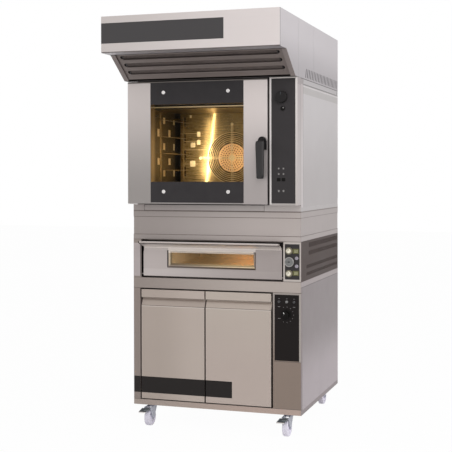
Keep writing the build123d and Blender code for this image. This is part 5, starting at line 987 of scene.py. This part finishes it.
# %% Wall liner and clips
LINER_X = -0.4145
COLUMNS = (-0.235, -0.185, -0.15, -0.105, -0.07, -0.02, 0.015, 0.062, 0.097, 0.14, 0.17)
ROWS = (1.345, 1.38, 1.415, 1.452, 1.49, 1.522, 1.562, 1.612, 1.652, 1.69, 1.735, 1.768, 1.806, 1.835)
shape = bmesh.new()
grid = [[shape.verts.new((LINER_X, y, z)) for y in COLUMNS] for z in ROWS]
for row in range(len(ROWS) - 1):
    for column in range(len(COLUMNS) - 1):
        if column % 2 == 1 and row % 2 == 1 and (row // 2 + column // 2) % 2:
            continue
        shape.faces.new((grid[row][column], grid[row][column + 1], grid[row + 1][column + 1],
                         grid[row + 1][column]))
liner = piece("wall_liner", shape, "liner_steel")
thickness = liner.modifiers.new("thickness", "SOLIDIFY")
thickness.thickness = 0.0012
thickness.offset = 0.0
GLINT_Y, STOP_Y = 0.1785, 0.18
TILE_THICK = 0.003
# Painted glints: bright tiles on the baffle where the chamber's light is reflected.
GLINTS = (
    # width and height, x, z
    ((0.012, 0.018), -0.3145, 1.822), ((0.022, 0.03), -0.262, 1.712), ((0.022, 0.03), -0.262, 1.662),
    ((0.03, 0.03), -0.3, 1.646), ((0.034, 0.036), -0.302, 1.53))
tiles("baffle_glints", "painted_glint_gold",
      [((*size, 0.004), x, z, GLINT_Y, TILE_THICK) for size, x, z in GLINTS], bevel=0.0008)
STOPS = ((-0.322, 1.716, 0.124), (-0.31, 1.668, 0.11), (-0.3, 1.616, 0.15), (-0.318, 1.528, 0.1))
tiles("tray_stops", "guard_gold",
      [((width, 0.0034, 0.0016), x, z, STOP_Y, TILE_THICK) for x, z, width in STOPS])
# A pale gold sheet behind the liner's windows stands for the lit wall: a painted light.
WINDOW_BACK = 0.0025
BACK_SHEET = 0.0008
corners = ((-0.23, 1.35), (0.165, 1.35), (0.165, 1.83), (-0.23, 1.83))
rings = [[(LINER_X - depth, y, z) for y, z in corners] for depth in (WINDOW_BACK, WINDOW_BACK - BACK_SHEET)]
piece("painted_lit_wall", rings, "painted_glint_gold")
print("liner with", (len(COLUMNS) - 1) // 2, "columns of windows and", len(GLINTS), "painted_glints")

# %% [markdown]
# The control plates carry printed marks: here tiles of 0.3 mm. All of them are generic: a line for a knob's
# pointer, dots for a scale, small squares for keys and bars for legends.

# %% Marks on the deck oven's plate
PLATE_Y = -0.2465
MARK = 0.0003
SUNK = 0.0002
TICK_RADIUS = 0.0195
tiles("legend_plates", "legend_green",
      [((0.036, 0.027, 0.002), 0.4745, z, PLATE_Y - MARK, MARK) for z in (1.0375, 0.9155)])
tiles("legend_lines", "legend_cream",
      [((0.022, 0.0022, 0.0008), 0.4755, z + 0.006 - 0.006 * line, PLATE_Y - 2 * MARK, MARK)
       for z in (1.0375, 0.9155) for line in range(3)])
angles = [-45 + 22.5 * tick for tick in range(13)]
tiles("dial_ticks", "mark_white",
      [((0.0042, 0.0012, 0.0003), DIAL_AT[0] + TICK_RADIUS * cos(radians(angle)),
        DIAL_AT[1] + TICK_RADIUS * sin(radians(angle)), -0.2498, MARK, angle) for angle in angles])


def mark_on(body, look, front_y, outline, x, z, turned=0.0):
    """A pointer or dot printed on the front of a moving body."""
    tiles(body + "_mark", look, [(outline, x, z, front_y - MARK, MARK + SUNK, turned)], body)


for knob_name, (x, z) in zip(("deck_upper_knob", "deck_lower_knob"), KNOB_AXES):
    mark_on(knob_name, "needle_dark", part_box(knob_name)[0].y, (0.003, 0.01, 0.001), x, z + 0.006)
print("two legends, a dial scale and two pointers")

# %% Marks on the cabinet's plate
KNOB_AT = (0.419, 0.6835)
SCALE_RADIUS = 0.043
angles = [radians(110 - 27.5 * dot) for dot in range(9)]
spots = [((0.0036, 0.0036, 0.0018, 2), KNOB_AT[0] + SCALE_RADIUS * cos(angle),
          KNOB_AT[1] + SCALE_RADIUS * sin(angle)) for angle in angles]
spots += [((0.014, 0.0024, 0.0008), x, 0.727) for x in (0.378, 0.465)]
spots += [((0.016, 0.0024, 0.0008), 0.379, 0.662)]
spots += [((0.01, 0.0016, 0.0006), x, 0.772) for x in (0.378, 0.4225, 0.465)]
tiles("cabinet_scale", "mark_grey",
      [(*spot, PLATE_Y - MARK, MARK) for spot in spots])
mark_on("cabinet_knob", "mark_white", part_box("cabinet_knob")[0].y, (0.0045, 0.01, 0.0015),
        KNOB_AT[0] - 0.008, KNOB_AT[1] + 0.01, 25)
print("scale of", SCALE_RADIUS, "m around the cabinet's knob")

# %% Marks on the convection oven's plate
OVEN_PLATE_Y = -0.3215
KEY_X = (0.399, 0.426)
spots = []
for x in KEY_X:
    spots += [((0.0085, 0.0085, 0.0015), x, z) for z in (1.495, 1.465)]
    spots += [((0.009, 0.011, 0.0015), x, 1.372)]
tiles("key_marks", "mark_grey",
      [(*spot, OVEN_PLATE_Y - MARK, MARK) for spot in spots])
tiles("key_pads", "cabinet_knob_black",
      [((0.021, 0.018, 0.003), x, 1.434, OVEN_PLATE_Y - 2 * MARK, 2 * MARK) for x in KEY_X], bevel=0.0002)
mark_on("power_button", "mark_grey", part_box("power_button")[0].y, (0.007, 0.007, 0.0035, 4), 0.4265, 1.827)
knob_low, knob_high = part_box("oven_knob")
mark_on("oven_knob", "tread_grey", knob_low.y, (0.0026, 0.015, 0.001), (knob_low.x + knob_high.x) / 2,
        knob_high.z - 0.014)
print("keys and two marks")

# %% [markdown]
# A braked castor has a steel tread that the foot presses. It slopes down to the front and reaches out to
# one side, with a bright rolled lip. The tread belongs to the brake pedal and turns with it.

# %% Brake treads
TREAD_TOP = (-0.03, 0.012, -0.263, 0.1085)
TREAD_FOOT = (-0.044, 0.002, -0.283, 0.09)
TREAD_SHEET = 0.0022
LIP_RADIUS = 0.0035
LIP_DROP = 0.003
for middle, body in ((-0.416, "front_left_brake_pedal"), (0.416, "front_right_brake_pedal")):
    rings = [[(middle + left, y, z), (middle + right, y, z), (middle + right, y, z - TREAD_SHEET),
              (middle + left, y, z - TREAD_SHEET)] for left, right, y, z in (TREAD_TOP, TREAD_FOOT)]
    piece(body + "_tread", rings, "tread_grey", body, bevel=0.0006)
    left, right, y, z = TREAD_FOOT
    rings = [[(middle + end, y + u, z - LIP_DROP + v) for u, v in circle(LIP_RADIUS, 8)]
             for end in (left, right)]
    piece(body + "_lip", rings, "bright_steel", body, bevel=0.0006)
print("treads on both front castors")

# %% [markdown]
# Sheet panels are held by rows of pan-head screws. They show only at the back, where the panels sit inside
# the side sheets, so nothing sticks out of the stack. Each head is a low dome.

# %% Screws on the back panels
SCREW_RADIUS = 0.0045
SCREW_HEIGHT = 0.0022
SCREW_Y = 0.64
SCREW_X = (-0.47, -0.16, 0.16, 0.47)
SCREW_Z = (1.345, 1.94, 2.03, 2.285, 0.165, 0.765)
DOME = ((1.0, 0.0), (1.0, 0.35), (0.82, 0.75), (0.45, 1.0))
shape = bmesh.new()
for z in SCREW_Z:
    for x in SCREW_X:
        loft(shape, [[(x + u, SCREW_Y + SCREW_HEIGHT * height, z + v)
                      for u, v in circle(SCREW_RADIUS * share, 12)] for share, height in DOME])
piece("panel_screws", shape, "bright_steel")
print(len(SCREW_X) * len(SCREW_Z), "screw heads")

# %% [markdown]
# A real oven has a halogen lamp in each chamber. Four warm bulbs do that work here, and three soft tubes
# graze the baffle, the way the lamp's mirror image does. They are hidden from the camera, so only what they
# light shows.

# %% Light in the chambers
WARM = (1.0, 0.86, 0.62)
PALE = (1.0, 0.91, 0.74)
BULBS = (
    # name, place, power, radius
    ("cavity_bulb", (cavity_high.x - 0.08, cavity_low.y + 0.16, 1.66), 3.1, 0.03),
    ("disc_bulb", (0.02, 0.08, 1.55), 0.42, 0.03),
    ("chamber_bulb", (chamber_high.x - 0.1, chamber_low.y + 0.16, chamber_high.z - 0.05), 3.4, 0.02),
    ("chamber_bulb_left", (-0.08, chamber_low.y + 0.1, chamber_high.z - 0.03), 1.5, 0.02))
for name, at, power, radius in BULBS:
    lamp = light(name, "POINT", at, power, WARM)
    lamp.data.shadow_soft_size = radius
    lamp.visible_camera = False
BAFFLE_Y = 0.19
LEAN = -7.0
TUBES = (
    # name, middle, size, power
    ("core", (-0.2, 0.14, 1.64), (0.01, 0.5), 0.6), ("foot", (-0.212, 0.135, 1.56), (0.02, 0.16), 0.16),
    ("haze", (-0.245, 0.06, 1.63), (0.06, 0.36), 0.42))
for name, at, size, power in TUBES:
    tube = soft_lamp("baffle_tube_" + name, at, (at[0], BAFFLE_Y, at[2]), size, power, PALE, LEAN)
    tube.visible_camera = False
print("bulbs in the oven cavity and in the baking chamber")
